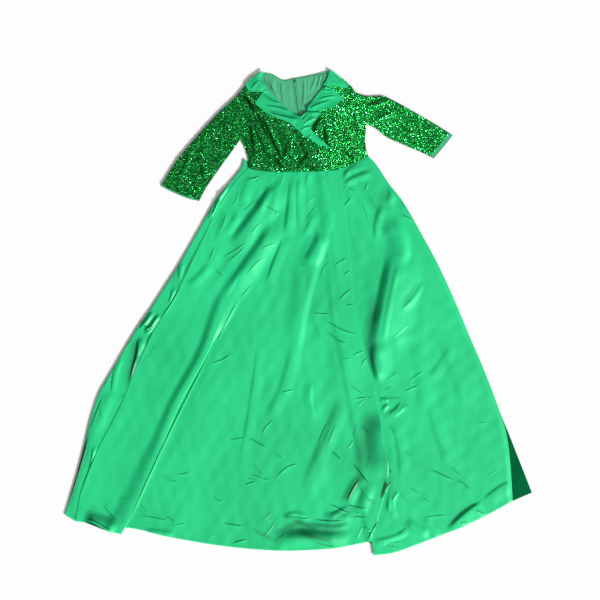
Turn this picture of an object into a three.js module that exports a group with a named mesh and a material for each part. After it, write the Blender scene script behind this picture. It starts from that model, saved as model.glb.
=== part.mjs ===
// A long wrap gown, laid flat on its back: a sequin bodice with three-quarter sleeves, a
// notched satin collar with lapels, and a full satin skirt that wraps at the front.
//
// Sizes are millimetres. In the tables x runs from the centre back line to the wearer's left
// and "down" runs from the shoulder tips to the hem; z is the height above the surface that
// the gown lies on. "Right" and "left" are the wearer's own.
import * as THREE from "three";

// ---- driving sizes ----
const CLOTH = 1.5; // wall of the satin and the sequin cloth
const LINING = 1.2; // wall of the back lining
const AIR = 0.4; // air between two layers and across a seam
const SEAM = 0.5; // half the air left along a curved seam
const LAYER = CLOTH + AIR; // one layer up
const LOFT = 2.3; // how far the front stands off the back
const FRONT = LAYER + LOFT; // underside of the front panels
const LAP_LIFT = LAYER + 0.9; // rise of a panel where it laps over its neighbour
const LAP_RAMP = 22; // width of the ramp up to the lap
const TRIM_REST = LAYER + 0.2; // rise of a collar or lapel above the bodice's underside
const CENTRE = { x: 0, down: 752 }; // middle of the laid gown

const COLOURS = {
  satin: { color: 0x35c983, roughness: 0.38, metalness: 0 },
  sequin: { color: 0x128a35, roughness: 0.3, metalness: 0.2 },
  lining: { color: 0x55c793, roughness: 0.85, metalness: 0 },
  tape: { color: 0x2f9f6d, roughness: 0.8, metalness: 0 },
  slider: { color: 0x2b8f5f, roughness: 0.4, metalness: 0.6 },
};

// ---- seams and edges, as [x, down] ----
const EDGES = {
  waistRight: [[-154, 304], [-130, 310.5], [-105, 314], [-30, 316], [40, 315], [125, 310]],
  waistLeft: [[75, 313], [133, 306], [174, 288], [217, 266]],
  sideSeam: [
    [-155, 304], [-195, 346], [-239, 411], [-298, 530], [-354, 645], [-397, 725], [-453, 815],
    [-496, 911], [-549, 1035], [-620, 1175], [-672, 1302], [-690, 1397],
  ],
  pleat: [
    [-30, 316], [-70, 390], [-105, 500], [-150, 630], [-210, 745], [-290, 900], [-365, 1035],
    [-435, 1205], [-510, 1375], [-546, 1437],
  ],
  wrapEdge: [
    [125, 310], [140, 420], [160, 600], [175, 765], [186, 820], [215, 910], [240, 1010],
    [265, 1150], [280, 1240], [265, 1325], [225, 1460],
  ],
  underEdge: [
    [75, 313], [85, 420], [105, 600], [120, 765], [150, 910], [175, 1055], [200, 1180],
    [210, 1300], [222, 1425], [235, 1503],
  ],
  leftSide: [
    [217, 266], [240, 292], [282, 355], [325, 410], [388, 520], [434, 605], [487, 720],
    [535, 835], [580, 940], [625, 1060], [645, 1125], [657, 1215], [665, 1335],
  ],
  leftFold: [
    [217, 266], [240, 290], [282, 353], [325, 408], [388, 518], [434, 603], [487, 718],
    [535, 833], [580, 938], [625, 1058], [651, 1122], [725, 1310],
  ],
  hemRight: [
    [-690, 1397], [-666, 1400], [-640, 1399], [-626, 1405], [-608, 1416], [-585, 1427], [-546, 1437],
  ],
  hemMiddle: [
    [-567, 1417], [-530, 1418], [-400, 1446], [-290, 1466], [-175, 1481], [-45, 1489],
    [50, 1486], [120, 1480], [225, 1460],
  ],
  hemLeft: [
    [235, 1503], [295, 1495], [365, 1471], [435, 1444], [510, 1414], [590, 1376], [665, 1335],
  ],
  rightFold: [
    [-168, 279], [-174, 301], [-186, 319], [-217, 356], [-254, 403], [-307, 496], [-369, 604],
    [-415, 676], [-459, 744], [-496, 797], [-539, 868], [-586, 949], [-617, 1004],
    [-645, 1091], [-663, 1169], [-682, 1243], [-704, 1318], [-722, 1378],
  ],
  backWaistRight: [[-164, 280], [-149, 285], [-118, 299], [-56, 314], [-1, 316]],
  backWaistLeft: [[1, 316], [68, 314], [133, 306], [174, 288], [217, 266]],
  centreBackSkirt: { right: [[-1, 316], [-1, 1479]], left: [[1, 316], [1, 1479]] },
  backHemRight: [
    [-718, 1379], [-700, 1390], [-655, 1404], [-626, 1416], [-601, 1426], [-575, 1431], [-556, 1431],
    [-525, 1410], [-400, 1438], [-290, 1458], [-175, 1473], [-1, 1479],
  ],
  backHemLeft: [
    [1, 1479], [120, 1471], [200, 1456], [250, 1478], [300, 1478], [365, 1458], [435, 1434],
    [510, 1406], [590, 1370], [665, 1336], [725, 1310],
  ],
  shoulderRight: [[-158, 43], [-136, 24], [-118, 16]],
  shoulderLeft: [[102, 9], [133, 24], [164, 50]],
  sideRight: [
    [-158, 43], [-167, 108], [-174, 170], [-177, 214], [-164, 242], [-157, 264], [-153, 279],
    [-154, 303.5],
  ],
  sideLeft: [[164, 50], [183, 93], [198, 130], [211, 167], [208, 211], [211, 246], [217, 265.5]],
  surplice: [
    [-118, 16], [-119, 30], [-115, 43], [-103, 65], [-74, 93], [-43, 118], [-19, 136], [3, 152],
    [22, 174], [40, 198], [84, 254], [125, 309.5],
  ],
  surpliceUnder: [
    [102, 9], [95, 31], [84, 56], [59, 90], [36, 124], [16, 152], [19, 202], [43, 257],
    [75, 312.5],
  ],
  backSideRight: [[-158, 43], [-167, 108], [-174, 170], [-177, 214], [-164, 242], [-158, 266]],
  backBottomRight: [[-158, 266], [-146, 279], [-118, 296], [-56, 312], [-5, 314]],
  backBottomLeft: [[-4, 314], [68, 312], [133, 304], [174, 286], [216, 264]],
  backNeckRight: [[-158, 43], [-132, 22], [-108, 9], [-80, 13], [-43, 31], [-12, 26]],
  backNeckLeft: [[-11, 26], [25, 19], [56, 12], [102, 3], [133, 24], [164, 50]],
  zip: [[-11, 27], [-7, 60], [3, 148]],
};

// ---- folds: a crest line through three places, half its width, and its rise ----
const SKIRT_RIGHT_FOLDS = [
  { path: [[-110, 335], [-205, 520], [-335, 805]], half: 34, rise: 6 },
  { path: [[-130, 450], [-330, 775], [-575, 1240]], half: 48, rise: 7 },
  { path: [[-60, 455], [-275, 780], [-510, 1270]], half: 30, rise: -2 },
  { path: [[-30, 335], [-105, 420], [-225, 560]], half: 16, rise: -2 },
  { path: [[15, 335], [5, 495], [-55, 715]], half: 26, rise: 5 },
  { path: [[115, 435], [75, 615], [20, 870]], half: 26, rise: 9 },
  { path: [[-30, 620], [-55, 805], [-95, 1025]], half: 32, rise: 5 },
  { path: [[-150, 1025], [-180, 1210], [-195, 1470]], half: 44, rise: 6 },
  { path: [[70, 1025], [75, 1240], [85, 1470]], half: 38, rise: 5 },
  { path: [[-365, 1115], [-390, 1270], [-410, 1425]], half: 34, rise: 5 },
  { path: [[-615, 1240], [-625, 1335], [-630, 1420]], half: 40, rise: 12 },
  { path: [[200, 1040], [200, 1145], [215, 1260]], half: 26, rise: 5 },
];
const SKIRT_LEFT_FOLDS = [
  { path: [[135, 390], [165, 335], [185, 300]], half: 13, rise: 5 },
  { path: [[160, 425], [200, 350], [215, 300]], half: 13, rise: 5 },
  { path: [[190, 450], [215, 680], [225, 870]], half: 26, rise: 7 },
  { path: [[290, 470], [325, 595], [255, 990]], half: 32, rise: 12 },
  { path: [[395, 715], [440, 960], [485, 1180]], half: 44, rise: 5 },
  { path: [[300, 1055], [330, 1240], [355, 1400]], half: 38, rise: 5 },
  { path: [[460, 1415], [560, 1335], [650, 1270]], half: 30, rise: 6 },
  { path: [[245, 1458], [290, 1446], [345, 1415]], half: 18, rise: 4 },
];
const BODICE_FOLDS = [
  { path: [[-160, 80], [-120, 180], [-80, 275]], half: 15, rise: 4 },
  { path: [[-145, 155], [-105, 230], [-65, 295]], half: 13, rise: 3 },
  { path: [[-165, 70], [-143, 135], [-100, 225]], half: 10, rise: -1.5 },
  { path: [[100, 140], [130, 200], [160, 275]], half: 20, rise: 3 },
];
const SLEEVE_FOLDS = [
  { path: [[-315, 250], [-290, 305], [-285, 345]], half: 16, rise: 3 },
  { path: [[-235, 155], [-205, 190], [-185, 215]], half: 15, rise: 3 },
  { path: [[205, 122], [250, 105], [290, 95]], half: 15, rise: 4 },
  { path: [[225, 160], [270, 145], [310, 118]], half: 14, rise: 3 },
];
const LINING_FOLDS = [
  { path: [[-75, 20], [-72, 60], [-60, 92]], half: 9, rise: 2 },
  { path: [[-48, 36], [-47, 80], [-38, 112]], half: 9, rise: 1.6 },
  { path: [[-27, 32], [-22, 80], [-14, 125]], half: 7, rise: 1.4 },
  { path: [[17, 26], [18, 75], [14, 122]], half: 8, rise: 1.8 },
  { path: [[42, 22], [40, 60], [32, 98]], half: 8, rise: 1.4 },
  { path: [[68, 18], [66, 42], [58, 68]], half: 8, rise: 2 },
];

// ---- the deep pleat-like fold that starts mid-skirt and runs to the hem ----
const PLEAT = {
  roll: 1.8, // radius of its two rolls, to the middle of the wall
  ridgeFrom: 450, // down, where it starts to rise
  foldFrom: 620, // down, where it starts to turn over
  growth: 250, // length over which it turns over
  lap: 30, // how much cloth it laps over at the hem
  lapGrowth: 640,
  run: 60, // width of the slope up to it
  slant: 0.32, // how much its sections lean towards the hem
};

// ---- collar and lapels: one row for each section, edge to edge ----
const COLLAR_RIGHT = [
  { left: [-113, 5], right: [-107, 5] },
  { left: [-144, 25], right: [-114, 23] },
  { left: [-162, 45], right: [-112, 37] },
  { left: [-158, 57], right: [-98, 59] },
  { left: [-151, 68], right: [-108, 69] },
];
const COLLAR_LEFT = [
  { left: [97, 1], right: [105, 2] },
  { left: [93, 22], right: [127, 19] },
  { left: [85, 37], right: [144, 36] },
  { left: [79, 46], right: [156, 50] },
  { left: [81, 50], right: [152, 57] },
];
const LAPEL_RIGHT = [
  { left: [-114, 75], right: [-97, 61] },
  { left: [-134, 104], right: [-90, 71] },
  { left: [-97, 135], right: [-68, 91] },
  { left: [-71, 146], right: [-40, 115] },
  { left: [-45, 155], right: [-16, 133] },
  { left: [-19, 170], right: [8, 147] },
  { left: [-6, 183], right: [25, 132] },
  { left: [5, 192], right: [73, 134] },
  { left: [12, 200], right: [62, 147] },
  { left: [20, 208], right: [39, 178] },
  { left: [24, 212], right: [40, 185] },
];
const LAPEL_LEFT = [
  { left: [82, 53], right: [108, 59] },
  { left: [65, 71], right: [140, 90] },
  { left: [46, 96], right: [105, 119] },
  { left: [29, 120], right: [79, 123] },
  { left: [30, 126], right: [74, 128] },
  { left: [16, 158], right: [50, 152] },
  { left: [22, 186], right: [34, 175] },
  { left: [29, 208], right: [42, 188] },
  { left: [57, 229], right: [72, 218] },
  { left: [88, 239], right: [93, 236] },
  { left: [104, 245], right: [106, 244] },
];
const LIP_DOWN = 122; // where the left lapel rolls over the crossing end of the right one

const SLEEVES = {
  right: {
    side: EDGES.sideRight,
    underarm: 214,
    away: -1,
    cuff: [[-425, 360], [-403, 372], [-366, 389], [-335, 400], [-307, 406]],
    outer: [[-159, 43], [-195, 86], [-249, 137], [-318, 213], [-372, 277], [-425, 360]],
    under: [[-178, 214], [-202, 248], [-251, 316], [-285, 366], [-307, 406]],
    underCuff: 5, // how far the back layer reaches past the front one at the cuff
  },
  left: {
    side: EDGES.sideLeft,
    underarm: 167,
    away: 1,
    cuff: [[480, 202], [464, 223], [442, 250], [421, 274]],
    outer: [
      [165, 50], [180, 71], [220, 83], [264, 82], [292, 94], [364, 133.5], [435, 174.5],
      [480, 202],
    ],
    under: [[212, 167], [239, 180], [275, 208], [328, 232], [387, 257], [421, 274]],
    underCuff: 14,
  },
};

// ---- small tools ----
const mix = (a, b, t) => a + (b - a) * t;
const clamp = (t) => Math.min(1, Math.max(0, t));
const smooth = (t) => clamp(t) ** 2 * (3 - 2 * clamp(t));

// a smooth line through [x, down] points, run through by its length from 0 to 1
const lines = new Map();
function smoothLine(points) {
  if (typeof points === "function") return points;
  if (!lines.has(points)) lines.set(points, curveThrough(points));
  return lines.get(points);
}
function curveThrough(points) {
  const places = points.map(([x, down]) => new THREE.Vector3(x, down, 0));
  const curve = new THREE.CatmullRomCurve3(places, false, "centripetal");
  return (t) => {
    const place = curve.getPointAt(clamp(t));
    return { x: place.x, down: place.y };
  };
}

// the same line moved aside, or the stretch of it between two shares of its length
const moved = (line, x, down) => (t) => {
  const place = smoothLine(line)(t);
  return { x: place.x + x, down: place.down + down };
};
const stretch = (line, from, to) => (t) => smoothLine(line)(mix(from, to, t));

// the share of a line's length at which it reaches a place
function shareWhere(line, reached) {
  let [low, high] = [0, 1];
  for (let i = 0; i < 30; i++) {
    const half = (low + high) / 2;
    if (reached(line(half))) high = half;
    else low = half;
  }
  return high;
}

// x of a line that only runs downwards, at any height
function xOn(points, steps = 160) {
  const line = smoothLine(points);
  const places = Array.from({ length: steps + 1 }, (_, i) => line(i / steps));
  return (down) => {
    const next = places.findIndex((place) => place.down >= down);
    if (next < 0) return places[steps].x;
    if (next === 0) return places[0].x;
    const [a, b] = [places[next - 1], places[next]];
    return mix(a.x, b.x, (down - a.down) / (b.down - a.down || 1));
  };
}

// a panel's plan, spanned between its four edges
function spanned({ top, bottom, left, right }) {
  const [T, B, L, R] = [top, bottom, left, right].map(smoothLine);
  const corner = { tl: T(0), tr: T(1), bl: B(0), br: B(1) };
  return (u, v) => {
    const [t, b, l, r] = [T(u), B(u), L(v), R(v)];
    const along = (key) =>
      mix(t[key], b[key], v) + mix(l[key], r[key], u) -
      mix(mix(corner.tl[key], corner.tr[key], u), mix(corner.bl[key], corner.br[key], u), v);
    return { x: along("x"), down: along("down") };
  };
}

// rows of places over a plan
function gridOf(plan, across, along) {
  return Array.from({ length: along + 1 }, (_, r) =>
    Array.from({ length: across + 1 }, (_, c) => plan(c / across, r / along)));
}

// rows of places from a table of sections, with even steps between them
function gridOfSections(sections, across, between) {
  const count = (sections.length - 1) * between;
  return Array.from({ length: count + 1 }, (_, r) => {
    const k = Math.min(sections.length - 2, Math.floor(r / between));
    const t = r / between - k;
    const end = (side, axis) => mix(sections[k][side][axis], sections[k + 1][side][axis], t);
    return Array.from({ length: across + 1 }, (_, c) => ({
      x: mix(end("left", 0), end("right", 0), c / across),
      down: mix(end("left", 1), end("right", 1), c / across),
      u: c / across,
    }));
  });
}

// folds: each crest line is a curve through its three places
const FOLD_STEPS = 12;
function prepared(folds) {
  return folds.map(({ path: [a, m, b], half, rise }) => {
    const bend = [2 * m[0] - (a[0] + b[0]) / 2, 2 * m[1] - (a[1] + b[1]) / 2];
    const crest = Array.from({ length: FOLD_STEPS + 1 }, (_, i) => {
      const t = i / FOLD_STEPS;
      return [0, 1].map((k) => (1 - t) ** 2 * a[k] + 2 * t * (1 - t) * bend[k] + t * t * b[k]);
    });
    return { crest, half, rise };
  });
}
function riseOf(folds, x, down) {
  let total = 0;
  for (const { crest, half, rise } of folds) {
    let best = Infinity;
    let place = 0;
    for (let i = 0; i < FOLD_STEPS; i++) {
      const [ax, ay] = crest[i];
      const [dx, dy] = [crest[i + 1][0] - ax, crest[i + 1][1] - ay];
      const t = clamp(((x - ax) * dx + (down - ay) * dy) / (dx * dx + dy * dy));
      const gap = Math.hypot(x - ax - t * dx, down - ay - t * dy);
      if (gap < best) [best, place] = [gap, (i + t) / FOLD_STEPS];
    }
    const side = clamp(1 - (best / half) ** 2) ** 2;
    total += rise * side * smooth(Math.min(place, 1 - place) / 0.25 + 0.15);
  }
  return total;
}

// ---- walls ----
const point = ({ x, down }, z) => new THREE.Vector3(x, -down, z);

function solid(points, faces) {
  const geometry = new THREE.BufferGeometry();
  const flat = points.flatMap((p) => [p.x, p.y, p.z]);
  geometry.setAttribute("position", new THREE.Float32BufferAttribute(flat, 3));
  geometry.setIndex(faces.flat());
  geometry.computeVertexNormals();
  return geometry;
}

// a closed wall between a lower and an upper grid of the same size
function wallBetween(lower, upper) {
  const [rows, cols] = [lower.length, lower[0].length];
  const low = (r, c) => r * cols + c;
  const high = (r, c) => rows * cols + low(r, c);
  const faces = [];
  for (let r = 0; r < rows - 1; r++) {
    for (let c = 0; c < cols - 1; c++) {
      const [a, b, d, e] = [[r, c], [r, c + 1], [r + 1, c], [r + 1, c + 1]];
      faces.push([high(...a), high(...d), high(...e)], [high(...a), high(...e), high(...b)]);
      faces.push([low(...a), low(...e), low(...d)], [low(...a), low(...b), low(...e)]);
    }
  }
  const rim = [];
  for (let r = 0; r < rows - 1; r++) rim.push([r, 0]);
  for (let c = 0; c < cols - 1; c++) rim.push([rows - 1, c]);
  for (let r = rows - 1; r > 0; r--) rim.push([r, cols - 1]);
  for (let c = cols - 1; c > 0; c--) rim.push([0, c]);
  rim.forEach((p, i) => {
    const q = rim[(i + 1) % rim.length];
    faces.push([high(...q), high(...p), low(...p)], [high(...q), low(...p), low(...q)]);
  });
  return solid([...lower.flat(), ...upper.flat()], faces);
}

// a wall whose underside is a height over each place
function laid(grid, heightAt, wall = CLOTH) {
  const thickness = typeof wall === "function" ? wall : () => wall;
  const lower = grid.map((row) => row.map((p) => point(p, heightAt(p))));
  const upper = grid.map((row) => row.map((p) => point(p, heightAt(p) + thickness(p))));
  return wallBetween(lower, upper);
}

// a wall of even thickness about a middle surface, which may roll over itself
function thickened(middle, wall = CLOTH) {
  const [rows, cols] = [middle.length, middle[0].length];
  const at = (r, c) => middle[clampIndex(r, rows)][clampIndex(c, cols)];
  const sides = [-wall / 2, wall / 2].map((shift) =>
    middle.map((row, r) => row.map((p, c) => {
      const across = at(r, c + 1).clone().sub(at(r, c - 1));
      const along = at(r + 1, c).clone().sub(at(r - 1, c));
      return along.cross(across).normalize().multiplyScalar(shift).add(p);
    })));
  return wallBetween(...sides);
}
const clampIndex = (i, count) => Math.min(count - 1, Math.max(0, i));

// a flattened tube, open at both ends, from rings of outer and inner points
function tube(outer, inner) {
  const [rows, around] = [outer.length, outer[0].length];
  const out = (r, k) => r * around + (k % around);
  const inn = (r, k) => rows * around + out(r, k);
  const faces = [];
  const quad = (a, b, c, d) => faces.push([a, b, c], [a, c, d]);
  for (let k = 0; k < around; k++) {
    for (let r = 0; r < rows - 1; r++) {
      quad(out(r, k), out(r, k + 1), out(r + 1, k + 1), out(r + 1, k));
      quad(inn(r, k), inn(r + 1, k), inn(r + 1, k + 1), inn(r, k + 1));
    }
    quad(out(0, k + 1), out(0, k), inn(0, k), inn(0, k + 1));
    const last = rows - 1;
    quad(out(last, k), out(last, k + 1), inn(last, k + 1), inn(last, k));
  }
  return solid([...outer.flat(), ...inner.flat()], faces);
}

// ---- skirt ----
const SKIRT_ROWS = 24;
const wrapX = xOn(EDGES.wrapEdge);
const underX = xOn(EDGES.underEdge);
const pleatX = xOn(EDGES.pleat);
const leftSideX = xOn(EDGES.leftSide);
const lapRise = (x, edgeX) => LAP_LIFT * smooth((x - edgeX + LAP_RAMP + 4) / LAP_RAMP);

const rightFolds = prepared(SKIRT_RIGHT_FOLDS);
const leftFolds = prepared(SKIRT_LEFT_FOLDS);
const waistDown = 310;
const gathered = (down) => smooth((down - waistDown) / 30);

// height of the wrap panel's middle surface; near its pleat the small folds die out
function wrapHeight({ x, down }, ridge) {
  const offPleat = Math.abs(x - pleatX(down));
  const calm = 1 - ridge * (1 - smooth(offPleat / 30));
  const folds = riseOf(rightFolds, x, down) * gathered(down) * calm;
  return Math.max(LAYER, FRONT + folds + lapRise(x, underX(down))) + CLOTH / 2;
}

// one section through the pleat, as [square to it, up], from its slope to its hidden end
function pleatSection(fold, lap) {
  const r = PLEAT.roll;
  const turn = [60, 30, 0, -30, -60].map(THREE.MathUtils.degToRad);
  const folded = [
    [-r, 4 * r],
    ...turn.map((a) => [r * (Math.cos(a) - 1), r * (3 + Math.sin(a))]),
    [-r, 2 * r],
    [-lap / 2, 2 * r],
    [r - lap, 2 * r],
    ...turn.map((a) => [r * (1 - Math.cos(a)) - lap, r * (1 + Math.sin(a))]),
    [r - lap, 0],
  ];
  const reach = 25;
  return folded.map(([side, up], i) => {
    const s = i / (folded.length - 1);
    const open = [mix(-reach, reach, s), 4 * r * (1 - smooth(s))];
    return [mix(open[0], side, fold), mix(open[1], up, fold)];
  });
}

function wrapPanel() {
  const pleat = smoothLine(EDGES.pleat);
  const stateAt = (t) => {
    const place = pleat(t);
    const ridge = smooth((place.down - PLEAT.ridgeFrom) / 200);
    const fold = smooth((place.down - PLEAT.foldFrom) / PLEAT.growth);
    const lap = 4 + PLEAT.lap * smooth((place.down - PLEAT.foldFrom) / PLEAT.lapGrowth);
    return { place, ridge, fold, section: pleatSection(fold, lap) };
  };
  const shifted = ({ x, down }, side) => {
    const lean = PLEAT.slant * smooth((down - waistDown) / 300);
    return { x: x + side * Math.sqrt(1 - lean * lean), down: down + side * lean };
  };
  const slopeEdge = (t) => {
    const { place, section } = stateAt(t);
    return shifted(place, section[0][0]);
  };
  const hiddenEdge = (t) => {
    const { place, section } = stateAt(t);
    return shifted(place, section[section.length - 1][0]);
  };
  const pair = ({ x, down }) => [x, down];
  const waist = moved(EDGES.waistRight, 0, SEAM);
  const parts = [slopeEdge(0).x, hiddenEdge(0).x].map((x) =>
    shareWhere(waist, (place) => place.x >= x));
  const before = spanned({
    top: stretch(waist, 0, parts[0]),
    bottom: [...EDGES.hemRight.slice(0, -1), pair(slopeEdge(1))],
    left: EDGES.sideSeam,
    right: slopeEdge,
  });
  const after = spanned({
    top: stretch(waist, parts[1], 1),
    bottom: [pair(hiddenEdge(1)), ...EDGES.hemMiddle.slice(1)],
    left: hiddenEdge,
    right: EDGES.wrapEdge,
  });
  const [rows, colsBefore, colsAfter] = [SKIRT_ROWS, 11, 18];
  const middle = [];
  for (let r = 0; r <= rows; r++) {
    const v = r / rows;
    const { place, ridge, section } = stateAt(v);
    const slopeAt = slopeEdge(v);
    const row = [];
    for (let c = 0; c < colsBefore; c++) {
      const p = before(c / colsBefore, v);
      const gap = Math.hypot(slopeAt.x - p.x, slopeAt.down - p.down);
      const rise = ridge * section[0][1] * smooth(1 - gap / PLEAT.run);
      row.push(point(p, wrapHeight(p, ridge) + rise));
    }
    for (const [side, up] of section) {
      const p = shifted(place, side);
      row.push(point(p, mix(wrapHeight(p, ridge), FRONT + CLOTH / 2, ridge) + up * ridge));
    }
    for (let c = 1; c <= colsAfter; c++) {
      const p = after(c / colsAfter, v);
      const hidden = p.x < pleatX(p.down) ? ridge : 0;
      row.push(point(p, mix(wrapHeight(p, ridge), FRONT + CLOTH / 2, hidden)));
    }
    middle.push(row);
  }
  return thickened(middle);
}

function underPanel() {
  const grid = gridOf(spanned({
    top: moved(EDGES.waistLeft, 0, SEAM),
    bottom: EDGES.hemLeft,
    left: EDGES.underEdge,
    right: EDGES.leftSide,
  }), 20, 22);
  return laid(grid, ({ x, down }) => {
    const shown = smooth((x - wrapX(down) - 6) / 18);
    const toSide = smooth((leftSideX(down) - x) / 16);
    const folds = riseOf(leftFolds, x, down) * shown * gathered(down + 20);
    return Math.max(LAYER, LAYER + (LOFT + folds) * toSide);
  });
}

// the right back panel starts at the front seam, rolls round the side fold and lies below
function rolledBackPanel() {
  const up = FRONT + CLOTH / 2;
  const floor = CLOTH / 2;
  const roll = (up - floor) / 2;
  const fold = smoothLine(EDGES.rightFold);
  const frontSeam = smoothLine(EDGES.sideSeam);
  const rowsAbove = 2; // sections beside the bodice, above the front waist seam
  const rows = SKIRT_ROWS + rowsAbove;
  const seamStart = rowsAbove / rows;
  const foldStart = shareWhere(fold, (place) => place.down >= EDGES.waistRight[0][1]);
  const foldShare = (t) => (t < seamStart
    ? mix(0, foldStart, t / seamStart)
    : mix(foldStart, 1, (t - seamStart) / (1 - seamStart)));
  const seam = (t) => {
    const { x, down } = frontSeam((t - seamStart) / (1 - seamStart));
    const above = Math.max(0, seamStart - t) / seamStart;
    return { x: x - 2 * SEAM - 3 * above, down: mix(down, EDGES.rightFold[0][1], above) };
  };
  const inward = (t) => {
    const [o, s] = [fold(foldShare(t)), seam(t)];
    const length = Math.hypot(s.x - o.x, s.down - o.down);
    return { x: (s.x - o.x) / length, down: (s.down - o.down) / length };
  };
  const rolled = (t, side) => {
    const [o, n] = [fold(foldShare(t)), inward(t)];
    return { x: o.x + n.x * side, down: o.down + n.down * side };
  };
  const start = rolled(0, roll);
  const end = rolled(1, roll);
  const below = spanned({
    top: [[start.x, start.down], ...EDGES.backWaistRight.slice(1)],
    bottom: [[end.x, end.down], ...EDGES.backHemRight.slice(1)],
    left: (t) => rolled(t, roll),
    right: EDGES.centreBackSkirt.right,
  });
  const [strip, floorCols] = [3, 12];
  const turn = [60, 30, 0, -30, -60].map(THREE.MathUtils.degToRad);
  const middle = [];
  for (let r = 0; r <= rows; r++) {
    const v = r / rows;
    const [s, o] = [seam(v), rolled(v, roll)];
    const row = [];
    for (let c = 0; c <= strip; c++) {
      const t = c / strip;
      row.push(point({ x: mix(s.x, o.x, t), down: mix(s.down, o.down, t) }, up));
    }
    for (const a of turn) {
      row.push(point(rolled(v, roll * (1 - Math.cos(a))), floor + roll * (1 + Math.sin(a))));
    }
    for (let c = 0; c <= floorCols; c++) row.push(point(below(c / floorCols, v), floor));
    middle.push(row);
  }
  return thickened(middle);
}

function flatBackPanel() {
  const grid = gridOf(spanned({
    top: EDGES.backWaistLeft,
    bottom: EDGES.backHemLeft,
    left: EDGES.centreBackSkirt.left,
    right: EDGES.leftFold,
  }), 10, 18);
  return laid(grid, () => 0);
}

// ---- bodice ----
const bodiceFolds = prepared(BODICE_FOLDS);
const surpliceX = xOn(EDGES.surplice.slice(3));
const surpliceUnderX = xOn(EDGES.surpliceUnder.slice(5));
const sideRightX = xOn(EDGES.sideRight.slice(3));
const sideLeftX = xOn(EDGES.sideLeft.slice(3));
const CROSSING_DOWN = 140; // where the two fronts begin to lap
const UNDERARM_DOWN = 190;

function bodiceLoft({ x, down }) {
  const toSide = Math.min(x - sideRightX(down), sideLeftX(down) - x);
  const below = smooth((down - UNDERARM_DOWN) / 25);
  return mix(1, smooth((toSide - 1) / 12), below);
}
function bodiceLap({ x, down }) {
  return lapRise(x, surpliceUnderX(down)) * smooth((down - CROSSING_DOWN + 12) / 12);
}
function bodiceHeight({ x, down }, folded = 1) {
  const calm = smooth((300 - down) / 25);
  const folds = riseOf(bodiceFolds, x, down) * calm * folded;
  return Math.max(LAYER, LAYER + (LOFT + folds) * bodiceLoft({ x, down }));
}
function bodiceFrontRight() {
  const grid = gridOf(spanned({
    top: EDGES.shoulderRight,
    bottom: moved(EDGES.waistRight, 0, -SEAM),
    left: EDGES.sideRight,
    right: EDGES.surplice,
  }), 14, 14);
  return laid(grid, (p) => bodiceHeight(p) + bodiceLap(p));
}
function bodiceFrontLeft() {
  const grid = gridOf(spanned({
    top: EDGES.shoulderLeft,
    bottom: moved(EDGES.waistLeft, 0, -SEAM),
    left: EDGES.surpliceUnder,
    right: EDGES.sideLeft,
  }), 10, 14);
  return laid(grid, (p) => {
    const shown = p.down < CROSSING_DOWN ? 1 : smooth((p.x - surpliceX(p.down) - 4) / 15);
    return bodiceHeight(p, shown);
  });
}
function bodiceBack(top, bottom, left, right) {
  return laid(gridOf(spanned({ top, bottom, left, right }), 4, 8), () => 0);
}

// ---- collar and lapels lie on the bodice ----
function trimHeight(p) {
  const past = smooth((p.x - surpliceX(p.down) - 4) / 30) * smooth((p.down - 200) / 15);
  return bodiceHeight(p) + mix(bodiceLap(p), 0, past) + TRIM_REST;
}
// the inner edge turns down round the neck edge
const neckTurn = (u, drop) => drop * smooth((u - 0.8) / 0.2);

function collar(sections, innerSide) {
  return laid(gridOfSections(sections, 5, 3), (p) => {
    const u = innerSide === "right" ? p.u : 1 - p.u;
    return trimHeight(p) + 2 * Math.sin(Math.PI * u) - neckTurn(u, 0.2);
  });
}
function lapelRight() {
  return laid(gridOfSections(LAPEL_RIGHT, 5, 2), (p) => {
    const crossing = smooth((p.x + p.down - 118) / 30);
    const open = (1 - crossing) * (1.5 * Math.sin(Math.PI * p.u) - neckTurn(p.u, 0.9));
    return trimHeight(p) + crossing * (TRIM_REST + 0.5) + open;
  });
}
function lapelLeft() {
  return laid(gridOfSections(LAPEL_LEFT, 5, 2), (p) => {
    const lip = p.down <= LIP_DOWN + 2 ? smooth((p.down - 92) / 30) : 0;
    const upper = p.down <= LIP_DOWN + 2 ? neckTurn(1 - p.u, 0.9) * (1 - lip) : 0;
    return trimHeight(p) + lip * (TRIM_REST + 2) - upper;
  });
}

// ---- back lining and zip ----
const liningFolds = prepared(LINING_FOLDS);
const zipX = xOn(EDGES.zip);
const ZIP = { tapeHalf: 3, tape: 1.0, coilHalf: 1.2, coil: 1.3 };
function liningHalf(neck, hidden, bottom, centreSide) {
  const centre = (shift) => (t) => {
    const line = smoothLine(EDGES.zip)(t);
    return { x: line.x + shift, down: line.down };
  };
  const edge = centre(centreSide * (ZIP.tapeHalf + AIR));
  const [left, right] = centreSide < 0 ? [hidden, edge] : [edge, hidden];
  const grid = gridOf(spanned({ top: neck, bottom, left, right }), 12, 6);
  return laid(grid, ({ x, down }) => {
    const inV = Math.min(x - veeRightX(down), veeLeftX(down) - x);
    return LAYER + Math.max(0, riseOf(liningFolds, x, down)) * smooth((inV - 1) / 8);
  }, LINING);
}
const veeRightX = xOn([[-112, 5], [-99, 60], [-81, 78], [-56, 102], [-16, 133], [8, 147]]);
const veeLeftX = xOn([[102, 3], [84, 43], [56, 81], [29, 122], [8, 147]]);

function backZip() {
  const line = smoothLine(EDGES.zip);
  const grid = Array.from({ length: 11 }, (_, r) => {
    const { x, down } = line(r / 10);
    return [-ZIP.tapeHalf, -ZIP.coilHalf, 0, ZIP.coilHalf, ZIP.tapeHalf].map((side, c) =>
      ({ x: x + side, down, coil: c === 2 ? 1 : 0 }));
  });
  return laid(grid, () => LAYER, (p) => ZIP.tape + p.coil * ZIP.coil);
}

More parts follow.
